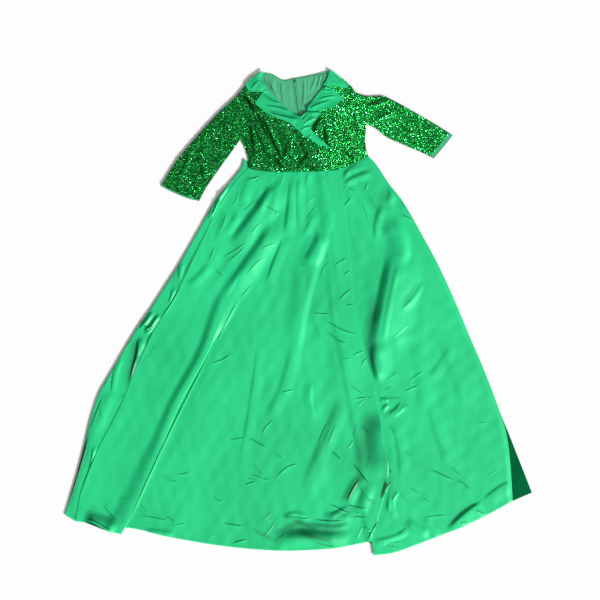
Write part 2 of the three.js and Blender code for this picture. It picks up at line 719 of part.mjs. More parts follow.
// the slider's body straddles the top of the coil
const SLIDER = { half: 2.6, length: 9, thick: 1.6, from: 31 };
function zipSlider() {
  const widths = [0.55, 1, 1, 0.7];
  const grid = widths.map((w, r) => {
    const down = SLIDER.from + (SLIDER.length * r) / (widths.length - 1);
    return [-1, -0.5, 0.5, 1].map((s) => ({ x: zipX(down) + s * w * SLIDER.half, down }));
  });
  return laid(grid, () => LAYER + ZIP.tape + ZIP.coil + AIR, SLIDER.thick);
}

// ---- sleeves ----
const sleeveFolds = prepared(SLEEVE_FOLDS);
function sleeve({ side, underarm, away, cuff, outer, under, underCuff }) {
  const share = shareWhere(smoothLine(side), (place) => place.down >= underarm);
  const armhole = moved(stretch(side, 0, share), away * 2 * SEAM, 0);
  const cuffLine = smoothLine(cuff);
  const plan = away > 0
    ? spanned({
      top: (t) => armhole(1 - t), bottom: (t) => cuffLine(1 - t), left: under, right: outer,
    })
    : spanned({ top: armhole, bottom: cuff, left: outer, right: under });
  const rows = 9;
  const across = 9;
  const rings = { outer: [], inner: [] };
  for (let r = 0; r <= rows; r++) {
    const v = r / rows;
    const [a, b] = [plan(0, v), plan(1, v)];
    const width = Math.hypot(b.x - a.x, b.down - a.down);
    // at the cuff the front layer stops short of the back one
    const short = (u) => {
      const [p, q] = [plan(u, v), plan(u, 0)];
      const length = Math.hypot(p.x - q.x, p.down - q.down);
      const back = (underCuff * smooth((v - 0.8) / 0.2)) / (length || 1);
      return { x: mix(p.x, q.x, back), down: mix(p.down, q.down, back) };
    };
    const top = (u) => {
      const p = plan(u, v);
      const inside = smooth(Math.min(u, 1 - u) / 0.12) * smooth(v / 0.12);
      return FRONT + CLOTH + Math.max(0, riseOf(sleeveFolds, p.x, p.down)) * inside;
    };
    const ring = (edge, wall) => {
      const e = edge / width;
      const soften = 1.2 / width;
      const us = Array.from({ length: across + 1 }, (_, i) =>
        mix(e + soften, 1 - e - soften, i / across));
      return [
        ...us.map((u) => point(plan(u, v), wall)),
        point(plan(1 - e, v), wall + 0.8),
        point(short(1 - e), top(1) - wall - 0.8),
        ...[...us].reverse().map((u) => point(short(u), top(u) - wall)),
        point(short(e), top(0) - wall - 0.8),
        point(plan(e, v), wall + 0.8),
      ];
    };
    rings.outer.push(ring(0, 0));
    rings.inner.push(ring(CLOTH, CLOTH));
  }
  return tube(rings.outer, rings.inner);
}

// ---- the gown ----
const gown = new THREE.Group();
function add(name, geometry, finish) {
  const mesh = new THREE.Mesh(geometry, new THREE.MeshStandardMaterial(COLOURS[finish]));
  mesh.name = name;
  gown.add(mesh);
}

add("skirt_back_right", rolledBackPanel(), "satin");
add("skirt_back_left", flatBackPanel(), "satin");
add("skirt_front_left", underPanel(), "satin");
add("skirt_front_right", wrapPanel(), "satin");

add("bodice_back_right", bodiceBack(
  EDGES.backNeckRight, EDGES.backBottomRight, EDGES.backSideRight, [[-12, 26], [-5, 314]],
), "sequin");
add("bodice_back_left", bodiceBack(
  EDGES.backNeckLeft, EDGES.backBottomLeft, [[-11, 26], [-4, 314]],
  [...EDGES.sideLeft.slice(0, -1), [216, 264]],
), "sequin");
add("lining_back_right", liningHalf(
  [[-104, 14], [-80, 18], [-43, 35], [-14.4, 29]],
  [[-104, 14], [-103, 62], [-86, 86], [-58, 110], [-24, 150]],
  [[-24, 150], [-0.4, 150]],
  -1,
), "lining");
add("lining_back_left", liningHalf(
  [[-7.6, 29], [25, 24], [56, 17], [92, 10]],
  [[92, 10], [88, 44], [62, 84], [36, 124], [24, 150]],
  [[6.4, 150], [24, 150]],
  1,
), "lining");
add("back_zip", backZip(), "tape");
add("zip_slider", zipSlider(), "slider");

add("bodice_front_left", bodiceFrontLeft(), "sequin");
add("bodice_front_right", bodiceFrontRight(), "sequin");
add("sleeve_right", sleeve(SLEEVES.right), "sequin");
add("sleeve_left", sleeve(SLEEVES.left), "sequin");

add("lapel_left", lapelLeft(), "satin");
add("lapel_right", lapelRight(), "satin");
add("collar_right", collar(COLLAR_RIGHT, "right"), "satin");
add("collar_left", collar(COLLAR_LEFT, "left"), "satin");

gown.position.set(-CENTRE.x, CENTRE.down, 0);

export default gown;
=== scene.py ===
import math

import bpy
import numpy as np
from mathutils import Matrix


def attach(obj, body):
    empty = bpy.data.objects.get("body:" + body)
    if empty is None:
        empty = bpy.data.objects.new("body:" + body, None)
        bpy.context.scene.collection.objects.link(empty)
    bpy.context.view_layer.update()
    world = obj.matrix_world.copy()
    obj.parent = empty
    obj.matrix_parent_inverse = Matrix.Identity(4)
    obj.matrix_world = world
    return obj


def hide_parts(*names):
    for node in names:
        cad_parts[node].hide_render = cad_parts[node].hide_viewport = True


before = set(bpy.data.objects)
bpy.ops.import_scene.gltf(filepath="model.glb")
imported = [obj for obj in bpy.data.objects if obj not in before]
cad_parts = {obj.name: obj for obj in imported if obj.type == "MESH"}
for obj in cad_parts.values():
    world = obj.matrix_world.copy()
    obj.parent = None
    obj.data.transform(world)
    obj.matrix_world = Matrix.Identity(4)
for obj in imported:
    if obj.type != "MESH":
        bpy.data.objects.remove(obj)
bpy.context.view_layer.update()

# Tables give [x, down] in millimetres: x from the centre back to the wearer's left, down from
# the shoulder tips to the hem. Heights are above the surface that the gown lies on.

# ---------------------------------------------------------------------------------------
# Back of the skirt: two satin panels joined down the middle, lying face down. The right one
# is rolled forward round the side, so a strip of its shiny side shows beside the front; the
# left one reaches past the front near the hem and shows its inside, duller than the face and
# coloured darker still as painted shade.
# ---------------------------------------------------------------------------------------
MIDDLE_DOWN = 752
SATIN = 1.1
HALF_WALL = 0.75  # half of the wall that the cloth runs in the middle of
FRONT = 4.2  # underside of the front panels
FRONT_MID = FRONT + HALF_WALL
FINE = np.linspace(0, 1, 2000)  # shares along an edge, close enough to look a place up in


def mix(a, b, t):
    return a + (b - a) * t


def smooth(t):
    t = np.clip(t, 0, 1)
    return t * t * (3 - 2 * t)


def line(points, shift=(0, 0), part=(0, 1)):
    """a smooth line through [x, down] places, read by its share of length"""
    whole = points
    if not callable(points):
        p = np.array(points, float)
        p = np.vstack([2 * p[0] - p[1], p, 2 * p[-1] - p[-2]])
        gap = np.sqrt(np.linalg.norm(np.diff(p, axis=0), axis=1))
        t = np.linspace(0, 1, 41)[1:, None]
        places = [p[1:2]]
        for i in range(1, len(p) - 2):
            a, b, c, d = p[i - 1 : i + 3]
            ab, bc, cd = gap[i - 1 : i + 2]
            leave = ((b - a) / ab - (c - a) / (ab + bc) + (c - b) / bc) * bc
            arrive = ((c - b) / bc - (d - b) / (bc + cd) + (d - c) / cd) * bc
            places.append(b + leave * t + (3 * (c - b) - 2 * leave - arrive) * t ** 2
                          + (2 * (b - c) + leave + arrive) * t ** 3)
        places = np.vstack(places)
        share = np.concatenate([[0], np.cumsum(np.linalg.norm(np.diff(places, axis=0), axis=1))])
        share /= share[-1]

        def whole(t):
            return np.stack([np.interp(t, share, places[:, k]) for k in (0, 1)], -1)

    return lambda t: whole(mix(*part, np.clip(t, 0, 1))) + np.array(shift, float)


def x_on(points):
    """x of a line that only runs downwards, at any height"""
    places = line(points)(np.linspace(0, 1, 400))
    return lambda down: np.interp(down, places[:, 1], places[:, 0])


def spanned(top, bottom, left, right):
    """a panel's plan between its four edges"""
    top, bottom, left, right = (line(edge) for edge in (top, bottom, left, right))
    corners = [edge(end) for edge in (top, bottom) for end in (0.0, 1.0)]

    def plan(u, v):
        across, along = np.broadcast_arrays(u, v)
        across, along = across[..., None], along[..., None]
        return (mix(top(u), bottom(u), along) + mix(left(v), right(v), across)
                - mix(mix(corners[0], corners[1], across), mix(corners[2], corners[3], across), along))

    return plan


def grid(cols, rows):
    return np.meshgrid(np.linspace(0, 1, cols + 1), np.linspace(0, 1, rows + 1))


def raised(plan, height):
    return np.concatenate([plan, np.broadcast_to(height, plan.shape[:2])[..., None]], -1)


def metres(places):
    return np.stack([places[..., 0], MIDDLE_DOWN - places[..., 1], places[..., 2]], -1) / 1000


def mesh_piece(name, places, faces, finishes, finish_of=None):
    mesh = bpy.data.meshes.new(name)
    mesh.from_pydata(np.reshape(places, (-1, 3)).tolist(), [], faces.tolist())
    for finish in finishes:
        mesh.materials.append(finish)
    if finish_of is not None:
        mesh.polygons.foreach_set("material_index", finish_of.astype(np.int32))
    mesh.polygons.foreach_set("use_smooth", np.ones(len(faces), bool))
    mesh.set_sharp_from_angle(angle=math.radians(60))
    piece = bpy.data.objects.new(name, mesh)
    bpy.context.scene.collection.objects.link(piece)
    return piece


def sides_of(middle, thick):
    """both faces of a cloth of even thickness about its middle, in metres"""
    places = metres(middle)
    normal = np.cross(np.gradient(places, axis=0), np.gradient(places, axis=1))
    length = np.linalg.norm(normal, axis=-1, keepdims=True)
    normal = np.where(length > 1e-14, normal / np.maximum(length, 1e-14), (0, 0, 1))
    return [places + normal * side * thick / 2000 for side in (-1, 1)]


def cloth(name, lower, upper, over, under):
    """a closed cloth between two grids of places, finished over and under"""
    rows, cols = upper.shape[:2]
    at = np.arange(rows * cols).reshape(rows, cols)
    a, b, c, d = (k.ravel() for k in (at[:-1, :-1], at[:-1, 1:], at[1:, 1:], at[1:, :-1]))
    rim = np.concatenate([at[:-1, 0], at[-1, :-1], at[:0:-1, -1], at[0, :0:-1]])
    ahead = np.roll(rim, -1)
    count = rows * cols
    faces = np.concatenate([np.stack([a, d, c, b], -1) + count, np.stack([a, b, c, d], -1),
                            np.stack([rim, ahead, ahead + count, rim + count], -1)])
    finish_of = np.repeat([0, 1, 0], [len(a), len(a), len(rim)])
    return mesh_piece(name, np.concatenate([lower.reshape(-1, 3), upper.reshape(-1, 3)]),
                      faces, [over, under], finish_of)


def add_node(tree, kind, inputs=(), **settings):
    """a node with settings, and each input a value or another node's output"""
    made = tree.nodes.new(kind)
    for key, value in settings.items():
        setattr(made, key, value)
    for key, value in dict(inputs).items():
        if isinstance(value, bpy.types.NodeSocket):
            tree.links.new(value, made.inputs[key])
        else:
            made.inputs[key].default_value = value
    return made


def finish_nodes(name):
    """an empty finish with its shader, and short ways to add and join nodes"""
    finish = bpy.data.materials.new(name)
    finish.use_nodes = True
    tree = finish.node_tree
    shader = tree.nodes["Principled BSDF"]

    def node(kind, inputs=(), **settings):
        return add_node(tree, kind, inputs, **settings)

    def join(output, socket):
        tree.links.new(output, shader.inputs[socket])

    return finish, shader, node, join


def shader_group(name, inputs, outputs):
    group = bpy.data.node_groups.new(name, "ShaderNodeTree")
    for label, kind, value in inputs:
        socket = group.interface.new_socket(label, in_out="INPUT", socket_type=kind)
        socket.default_value = value
    for label, kind in outputs:
        group.interface.new_socket(label, in_out="OUTPUT", socket_type=kind)
    return group, group.nodes.new("NodeGroupInput"), group.nodes.new("NodeGroupOutput")


# crumples: soft handling marks that run with the fall of the cloth, fine wrinkles in patches, and
# the pressed creases that a piece carries as a signed distance (mm, steep side negative) and
# depth. Its Shade output is painted shade: a dark line along each crease, plus the painted shade
# a piece carries in its deep folds, to darken the cloth's colour where shade would fall
MARK_REACH = 16.0  # how far from a crease its mark is carried, in millimetres
FALL_STRETCH, FALL_TURN = (1.0, 0.42, 1.0), (0, 0, math.radians(-12))
PATCHES, TONES = 5.0, 3.5  # scale of the patches of wrinkles, and of the two tones
crumples, given, result = shader_group(
    "cloth crumples and painted shade", [("Scale", "NodeSocketFloat", 14.0), ("Sharpness", "NodeSocketFloat", 0.5)],
    [("Height", "NodeSocketFloat"), ("Tone", "NodeSocketFloat"), ("Crease", "NodeSocketFloat"),
     ("Shade", "NodeSocketFloat")])
_place = add_node(crumples, "ShaderNodeTexCoord")
_fall = add_node(crumples, "ShaderNodeMapping", {
    "Vector": _place.outputs["Object"], "Scale": FALL_STRETCH, "Rotation": FALL_TURN})
_swells = add_node(crumples, "ShaderNodeTexNoise", {
    "Vector": _fall.outputs["Vector"], "Scale": given.outputs["Scale"], "Detail": 2.0})
_ridged = add_node(crumples, "ShaderNodeTexNoise", {
    "Vector": _fall.outputs["Vector"], "Scale": given.outputs["Scale"], "Detail": 3.0},
    noise_type="RIDGED_MULTIFRACTAL")
_patch = add_node(crumples, "ShaderNodeTexNoise", {
    "Vector": _place.outputs["Object"], "Scale": PATCHES})
_where = add_node(crumples, "ShaderNodeMapRange", {
    "Value": _patch.outputs["Fac"], "From Min": 0.45, "From Max": 0.65})
_wrinkles = add_node(crumples, "ShaderNodeMath", {
    0: _ridged.outputs["Fac"], 1: _where.outputs["Result"]}, operation="MULTIPLY")
_both = add_node(crumples, "ShaderNodeMix", {
    "Factor": given.outputs["Sharpness"], "A": _swells.outputs["Fac"],
    "B": _wrinkles.outputs["Value"]})
_tone = add_node(crumples, "ShaderNodeTexNoise", {
    "Vector": _place.outputs["Object"], "Scale": TONES})
_offset, _depth, _hollow_shade = (add_node(crumples, "ShaderNodeAttribute", attribute_name=_name)
                            for _name in ("crease", "crease depth", "hollow_shade"))
_along = add_node(crumples, "ShaderNodeMapRange", {
    "Value": _offset.outputs["Fac"], "From Min": -MARK_REACH, "From Max": MARK_REACH})
# stops across a crease, from its steep side: place and strength; the Shade stops are a painted line of
# shade
for _label, _stops in [
    ("Crease", [(0.0, 0), (0.40, 0), (0.50, 1), (0.56, 0.72), (0.70, 0.22), (0.95, 0)]),
    ("Shade", [(0.0, 0), (0.34, 0), (0.45, 1), (0.50, 0.75), (0.54, 0.0), (1.0, 0)]),
]:
    _ramp = add_node(crumples, "ShaderNodeValToRGB", {"Fac": _along.outputs["Result"]})
    for _at, _value in _stops[1:-1]:
        _ramp.color_ramp.elements.new(_at)
    for _stop, (_at, _value) in zip(_ramp.color_ramp.elements, _stops):
        _stop.position, _stop.color = _at, (_value, _value, _value, 1)
    _mark = add_node(crumples, "ShaderNodeMath", {
        0: _ramp.outputs["Color"], 1: _depth.outputs["Fac"],
        2: _hollow_shade.outputs["Fac"] if _label == "Shade" else 0.0}, operation="MULTIPLY_ADD")
    crumples.links.new(_mark.outputs["Value"], result.inputs[_label])
crumples.links.new(_both.outputs["Result"], result.inputs["Height"])
crumples.links.new(_tone.outputs["Fac"], result.inputs["Tone"])

# weave: fine threads both ways, the crossing pattern of a woven cloth
weave, given, result = shader_group(
    "weave", [("Threads", "NodeSocketFloat", 900.0), ("Twill", "NodeSocketFloat", 0.5)],
    [("Height", "NodeSocketFloat")])
_place = add_node(weave, "ShaderNodeTexCoord")
_warp, _weft = (add_node(weave, "ShaderNodeTexWave", {
    "Vector": _place.outputs["Object"], "Scale": given.outputs["Threads"]}, bands_direction=_way)
    for _way in "XY")
_cross = add_node(weave, "ShaderNodeMix", {
    "Factor": given.outputs["Twill"], "A": _warp.outputs["Fac"], "B": _weft.outputs["Fac"]})
weave.links.new(_cross.outputs["Result"], result.inputs["Height"])


def woven_finish(name, dark, pale, roughness, crumple, sharpness, thread, scale=14.0, sheen=0.0,
                 inside=None, metallic=0.0, specular=0.5):
    """a woven cloth: two close tones, crumples in it, its threads on top, and painted shade that
    darkens its colour along creases and in deep folds; crumple and thread are their bumps in metres,
    and inside is the colour of its wrong side"""
    finish, shader, node, join = finish_nodes(name)
    marks = node("ShaderNodeGroup", node_tree=crumples)
    marks.inputs["Scale"].default_value = scale
    marks.inputs["Sharpness"].default_value = sharpness
    threads = node("ShaderNodeGroup", node_tree=weave)
    tone = node("ShaderNodeValToRGB", {"Fac": marks.outputs["Tone"]})
    for stop, place, colour in zip(tone.color_ramp.elements, (0.35, 0.65), (dark, pale)):
        stop.position, stop.color = place, (*colour, 1)
    colour = tone.outputs["Color"]
    if inside:
        side = node("ShaderNodeNewGeometry")
        turned = node("ShaderNodeMix", data_type="RGBA")
        for output, socket in ((side.outputs["Backfacing"], 0), (colour, 6)):
            finish.node_tree.links.new(output, turned.inputs[socket])
        turned.inputs[7].default_value = (*inside, 1)
        colour = turned.outputs[2]
    # painted shade: the Shade mark darkens the base colour along creases and in deep folds
    shaded = node("ShaderNodeHueSaturation", {
        "Fac": marks.outputs["Shade"], "Saturation": 1.1, "Value": 0.45, "Color": colour})
    join(shaded.outputs["Color"], "Base Color")
    pressed = node("ShaderNodeBump", {
        "Height": marks.outputs["Crease"], "Distance": 0.0018, "Strength": 1.0})
    soft = node("ShaderNodeBump", {
        "Height": marks.outputs["Height"], "Distance": crumple, "Strength": 1.0,
        "Normal": pressed.outputs["Normal"]})
    fine = node("ShaderNodeBump", {
        "Height": threads.outputs["Height"], "Distance": thread, "Strength": 0.5,
        "Normal": soft.outputs["Normal"]})
    join(fine.outputs["Normal"], "Normal")
    for socket, value in {
        "Roughness": roughness, "Metallic": metallic, "Specular IOR Level": specular,
        "Sheen Weight": sheen, "Sheen Roughness": 0.4, "Sheen Tint": (0.6, 1.0, 0.75, 1),
    }.items():
        shader.inputs[socket].default_value = value
    return finish


# the wrong side of the satin, on the back panels and under the front ones, is duller than its face, and
# its colour is also kept far darker than a lit wrong side: painted shade for where it lies under the front
# layers
satin = woven_finish("green satin", dark=(0.006, 0.610, 0.215), pale=(0.010, 0.710, 0.265),
                     roughness=0.44, crumple=0.0021, sharpness=0.55, thread=0.00006, scale=26.0,
                     inside=(0.001, 0.110, 0.030), metallic=0.1)
satin_inside_and_shade = woven_finish("satin inside with painted shade", dark=(0.0005, 0.105, 0.034), pale=(0.0008, 0.145, 0.048),
                            roughness=0.9, crumple=0.003, sharpness=0.25, thread=0.0001,
                            specular=0.03)

SIDE_SEAM = [
    [-155, 304], [-195, 346], [-239, 411], [-298, 530], [-354, 645], [-397, 725], [-453, 815],
    [-496, 911], [-549, 1035], [-620, 1175], [-672, 1302], [-690, 1397],
]
RIGHT_FOLD = [
    [-168, 279], [-174, 301], [-186, 319], [-217, 356], [-254, 403], [-307, 496], [-369, 604],
    [-415, 676], [-459, 744], [-496, 797], [-539, 868], [-586, 949], [-617, 1004], [-645, 1091],
    [-663, 1169], [-682, 1243], [-704, 1318], [-722, 1378],
]
LEFT_FOLD = [
    [217, 266], [240, 290], [282, 353], [325, 408], [388, 518], [434, 603], [487, 718],
    [535, 833], [580, 938], [625, 1058], [651, 1122], [725, 1310],
]
BACK_WAIST_RIGHT = [[-164, 280], [-149, 285], [-118, 299], [-56, 314], [-1, 316]]
BACK_WAIST_LEFT = [[1, 316], [68, 314], [133, 306], [174, 288], [217, 266]]
BACK_HEM_RIGHT = [
    [-718, 1379], [-700, 1390], [-655, 1404], [-626, 1416], [-601, 1426], [-575, 1431], [-556, 1431],
    [-525, 1410], [-400, 1438], [-290, 1458], [-175, 1473], [-1, 1479],
]
BACK_HEM_LEFT = [
    [1, 1479], [120, 1471], [200, 1456], [250, 1478], [300, 1478], [365, 1458], [435, 1434],
    [510, 1406], [590, 1370], [665, 1336], [725, 1310],
]
# folds, creases and painted shade are placed on squares of 3.1 mm, with the gown's middle on column 298
# and the top of its neck on row 70. The columns of a fold are the start, middle and end of its
# crest, half its width and its rise in millimetres, and how much narrower its right flank is, going
# along it and seen from above. A crease has its depth after its three places; besides its bump it
# paints a dark line of shade into the colour. Painted shade is listed as folds, with its strength as
# the rise, and darkens the colour there.
SQUARE, MIDDLE_COLUMN, TOP_ROW = 3.1, 298, 70


def on_squares(rows):
    return [(*([(x - MIDDLE_COLUMN) * SQUARE, (y - TOP_ROW) * SQUARE] for x, y in row[:3]), *row[3:])
            for row in rows]


# the strip is ruched by its seam; folds and puckers in it
STRIP_FOLDS = on_squares([
    ((139, 338), (139, 354), (129, 388), 22, 8, 0.6), ((160, 314), (153, 324), (144, 333), 14, 6, 0.7),
    ((152, 311), (148, 320), (139, 329), 12, 6, 0.7), ((224, 192), (219, 200), (216, 210), 9, 4, 0.6),
    ((220, 200), (216, 208), (211, 218), 9, 4, 0.6), ((228, 186), (224, 192), (220, 198), 9, 3, 0.6),
    ((182, 262), (181, 272), (179, 282), 10, 3, 0.6), ((174, 286), (173, 296), (168, 306), 10, 3, 0.6),
    ((122, 352), (116, 372), (113, 396), 14, 3, 0.6), ((112, 392), (104, 410), (92, 440), 26, 3, 1),
    ((94, 446), (94, 458), (89, 476), 12, 3, 0.6), ((100, 480), (94, 490), (85, 502), 12, 2.5, 0.6),
])
STRIP_CREASES = on_squares([
    ((90, 432), (80, 468), (66, 512), 3.2), ((104, 396), (97, 412), (90, 432), 2.2),
    ((136, 336), (116, 362), (104, 392), 1.6), ((137, 340), (137, 354), (127, 388), 4),
    ((126, 394), (124, 397), (122, 393), 2), ((157, 316), (150, 328), (141, 322), 3.4),
    ((150, 313), (146, 322), (140, 328), 3.4), ((156, 322), (150, 331), (144, 332), 3),
    ((92, 446), (92, 458), (88, 474), 2.2), ((99, 480), (93, 490), (84, 500), 1.8),
    ((222, 192), (218, 198), (215, 206), 3), ((219, 198), (214, 208), (212, 214), 3),
    ((215, 204), (211, 212), (209, 220), 2.6), ((180, 262), (179, 270), (178, 278), 2.2),
    ((172, 288), (171, 296), (168, 304), 2), ((120, 352), (114, 372), (112, 396), 1.6),
    ((104, 404), (101, 412), (106, 420), 1.4),
])
# painted shade in the strip's deepest folds and along its seam and outer edge
STRIP_PAINTED_SHADE = on_squares([
    ((137, 338), (134, 360), (126, 390), 26, 0.7, 1), ((92, 420), (78, 470), (66, 514), 22, 1, 1),
    ((158, 312), (150, 322), (141, 332), 10, 0.5, 1), ((92, 520), (80, 517), (70, 514), 12, 0.5, 1),
    ((236, 179), (203, 239), (169, 304), 8, 0.9, 1), ((168, 306), (146, 344), (121, 403), 7, 0.8, 1),
    ((214, 196), (210, 208), (205, 222), 9, 0.5, 1), ((180, 262), (176, 272), (172, 288), 9, 0.4, 1),
])


def beside(start, middle, end, steps, reach, x, down):
    """places near a curve through three places: which they are, their distance from it, their
    share of the way along it, and whether they lie to its right, going along it from above"""
    a, m, b = (np.array(k, float) for k in (start, middle, end))
    bend = 2 * m - (a + b) / 2
    t = np.linspace(0, 1, steps + 1)[:, None]
    crest = (1 - t) ** 2 * a + 2 * t * (1 - t) * bend + t * t * b
    low, high = crest.min(0) - reach, crest.max(0) + reach
    near = (x > low[0]) & (x < high[0]) & (down > low[1]) & (down < high[1])
    here = np.stack([x[near], down[near]], -1)
    best, share, right = np.full(len(here), 1e9), np.zeros(len(here)), np.zeros(len(here), bool)
    for i, (p, q) in enumerate(zip(crest, crest[1:])):
        step = q - p
        t = np.clip((here - p) @ step / (step @ step), 0, 1)
        off = here - p - t[:, None] * step
        gap = np.hypot(off[:, 0], off[:, 1])
        closer = gap < best
        share = np.where(closer, (i + t) / steps, share)
        right = np.where(closer, off @ (-step[1], step[0]) > 0, right)
        best = np.where(closer, gap, best)
    return near, best, share, right


def fold_rise(folds, x, down):
    """height that a table of folds adds"""
    total = np.zeros(np.shape(x))
    for start, middle, end, half, rise, steep in folds:
        near, off, share, right = beside(start, middle, end, 12, half, x, down)
        side = np.clip(1 - (off / (half * np.where(right, steep, 1))) ** 2, 0, 1) ** 2
        total[near] += rise * side * smooth(np.minimum(share, 1 - share) / 0.3 + 0.05)
    return total


def crease_marks(creases, x, down):
    """signed distance (mm) to the nearest crease and its depth; the steep side is negative"""
    first, second = np.full(np.shape(x), 1e3), np.full(np.shape(x), 1e3)
    signed, depth = np.full(np.shape(x), 1e3), np.zeros(np.shape(x))
    for start, middle, end, rise in creases:
        near, off, share, right = beside(start, middle, end, 8, MARK_REACH + 4, x, down)
        closer = off < first[near]
        second[near] = np.where(closer, first[near], np.minimum(second[near], off))
        first[near] = np.where(closer, off, first[near])
        signed[near] = np.where(closer, off * np.where(right, -1, 1), signed[near])
        fade = smooth(np.minimum(share, 1 - share) / 0.3)
        depth[near] = np.where(closer, rise / 3 * fade, depth[near])
    fade = smooth((MARK_REACH - first) / 4) * smooth((second - first) / 5)
    return np.clip(signed, -MARK_REACH, MARK_REACH), depth * fade


def keep_marks(piece, creases, shade_hollows, x, down, sides=1):
    """creases and painted shade as point attributes; a cloth with two sides has the same on both"""
    signed, depth = crease_marks(creases, x, down)
    # painted shade: how much to darken the colour in deep folds
    hollow_shade = fold_rise(shade_hollows, x, down)
    for name, values in (("crease", signed), ("crease depth", depth), ("hollow_shade", hollow_shade)):
        kept = piece.data.attributes.new(name, "FLOAT", "POINT")
        kept.data.foreach_set("value", np.tile(np.ravel(values), sides).astype(np.float32))


_up, _floor = FRONT_MID, HALF_WALL
_roll = (_up - _floor) / 2
_rows, _above = 208, 16
_t = np.linspace(0, 1, _rows + 1)
_start = _above / _rows
_fold = line(RIGHT_FOLD)
_fold_start = np.interp(SIDE_SEAM[0][1], _fold(FINE)[:, 1], FINE)


def rolled_at(t, side):
    """a place on the side fold, moved in towards the front seam, and that seam"""
    share = np.where(t < _start, _fold_start * t / _start,
                     mix(_fold_start, 1, (t - _start) / (1 - _start)))
    outer = _fold(share)
    seam = line(SIDE_SEAM)((t - _start) / (1 - _start))
    above = np.clip((_start - t) / _start, 0, 1)
    seam = np.stack([seam[..., 0] - 1 - 3 * above, mix(seam[..., 1], RIGHT_FOLD[0][1], above)], -1)
    inward = (seam - outer) / np.linalg.norm(seam - outer, axis=-1, keepdims=True)
    return outer + inward * side, seam


_ridge, _seam = rolled_at(_t, _roll)
_below = spanned([_ridge[0].tolist(), *BACK_WAIST_RIGHT[1:]],
                 [_ridge[-1].tolist(), *BACK_HEM_RIGHT[1:]],
                 lambda t: rolled_at(t, _roll)[0], [[-1, 316], [-1, 1479]])
_columns = []
for _share in np.linspace(0, 1, 15):
    _plan = mix(_seam, _ridge, _share)
    _ease = smooth(min(_share, 1 - _share) / 0.15)
    _pucker = fold_rise(STRIP_FOLDS, _plan[:, 0], _plan[:, 1]) * _ease
    _columns.append(raised(_plan[:, None], (_up + _pucker)[:, None])[:, 0])
for _turn in np.radians([75, 50, 25, 0, -25, -50, -75]):
    _columns.append(raised(rolled_at(_t, _roll * (1 - math.cos(_turn)))[0][:, None],
                           _floor + _roll * (1 + math.sin(_turn)))[:, 0])
for _share in np.linspace(0, 1, 25):
    _columns.append(raised(_below(_share, _t)[:, None], _floor)[:, 0])
_middle = np.stack(_columns, 1)
_lower, _upper = sides_of(_middle, SATIN)
skirt_back_right = cloth("skirt_back_right_cloth", _lower, _upper, satin_inside_and_shade, satin)
keep_marks(skirt_back_right, STRIP_CREASES, STRIP_PAINTED_SHADE, _middle[..., 0], _middle[..., 1],
           sides=2)

_u, _v = grid(36, 90)
_plan = spanned(BACK_WAIST_LEFT, BACK_HEM_LEFT, [[1, 316], [1, 1479]], LEFT_FOLD)(_u, _v)
# the edge that shows by the hem ripples a little
_ripple = smooth((_u - 0.93) / 0.07) * (1 + np.sin(_v * 61)) * smooth((_v - 0.7) / 0.1)
_plan = raised(_plan, 0.7 + 1.2 * _ripple)
_lower, _upper = sides_of(_plan, SATIN)
skirt_back_left = cloth("skirt_back_left_cloth", _lower, _upper, satin_inside_and_shade, satin)

for _piece, _node in [(skirt_back_right, "skirt_back_right"), (skirt_back_left, "skirt_back_left")]:
    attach(_piece, "root")
    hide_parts(_node)

# ---------------------------------------------------------------------------------------
# Front of the skirt, under layer: the wearer's left panel, cut from the same satin, with its
# own free edge and a hem corner that shows below the wrap.
# ---------------------------------------------------------------------------------------
LAYER = 1.9
LOFT = 2.3
SEAM = 0.5
WAIST_DOWN = 310
WAIST_LEFT = [[75, 313], [133, 306], [174, 288], [217, 266]]
UNDER_EDGE = [
    [75, 313], [85, 420], [105, 600], [120, 765], [150, 910], [175, 1055], [200, 1180],
    [210, 1300], [222, 1425], [235, 1503],
]
WRAP_EDGE = [
    [125, 310], [140, 420], [160, 600], [175, 765], [186, 820], [215, 910], [240, 1010],
    [265, 1150], [280, 1240], [265, 1325], [225, 1460],
]
LEFT_SIDE = [
    [217, 266], [240, 292], [282, 355], [325, 410], [388, 520], [434, 605], [487, 720],
    [535, 835], [580, 940], [625, 1060], [645, 1125], [657, 1215], [665, 1335],
]
HEM_LEFT = [
    [235, 1503], [295, 1495], [365, 1471], [435, 1444], [510, 1414], [590, 1376], [665, 1335],
]
UNDER_RISE = 1.3  # of the cloth above its solid's underside
INWARD = 6  # columns in from an edge to the place that gives its way inwards
# how a free edge rolls under: towards the panel, and down
EDGE_ROLL = [(-0.35, 0.25), (-0.5, 0.65), (-0.2, 1.05), (1.5, 1.2), (9.0, 1.25)]


def turned_under(surface):
    """a panel with all four edges rolled under, as grids of places in millimetres"""
    for _ in range(2):
        rims = []
        for edge, inner in ((surface[:, 0], surface[:, INWARD]),
                            (surface[:, -1], surface[:, -1 - INWARD])):
            inward = (inner - edge) * (1, 1, 0)
            inward = inward / np.maximum(np.linalg.norm(inward, axis=-1, keepdims=True), 1e-6)
            rims.append([edge + inward * into - (0, 0, fall) for into, fall in EDGE_ROLL])
        surface = np.stack([*rims[0][::-1], *surface.swapaxes(0, 1), *rims[1]], 1).swapaxes(0, 1)
    return surface


def faces_over(rows, cols):
    """the faces of a grid of places, turned up"""
    at = np.arange(rows * cols).reshape(rows, cols)
    return np.stack([k.ravel() for k in (at[:-1, :-1], at[1:, :-1], at[1:, 1:], at[:-1, 1:])], -1)


def open_cloth(name, surface, finish, creases, shade_hollows):
    """a single layer of cloth over a grid of places in millimetres, its edges rolled under"""
    surface = turned_under(surface)
    piece = mesh_piece(name, metres(surface), faces_over(*surface.shape[:2]), [finish])
    keep_marks(piece, creases, shade_hollows, surface[..., 0], surface[..., 1])
    return piece


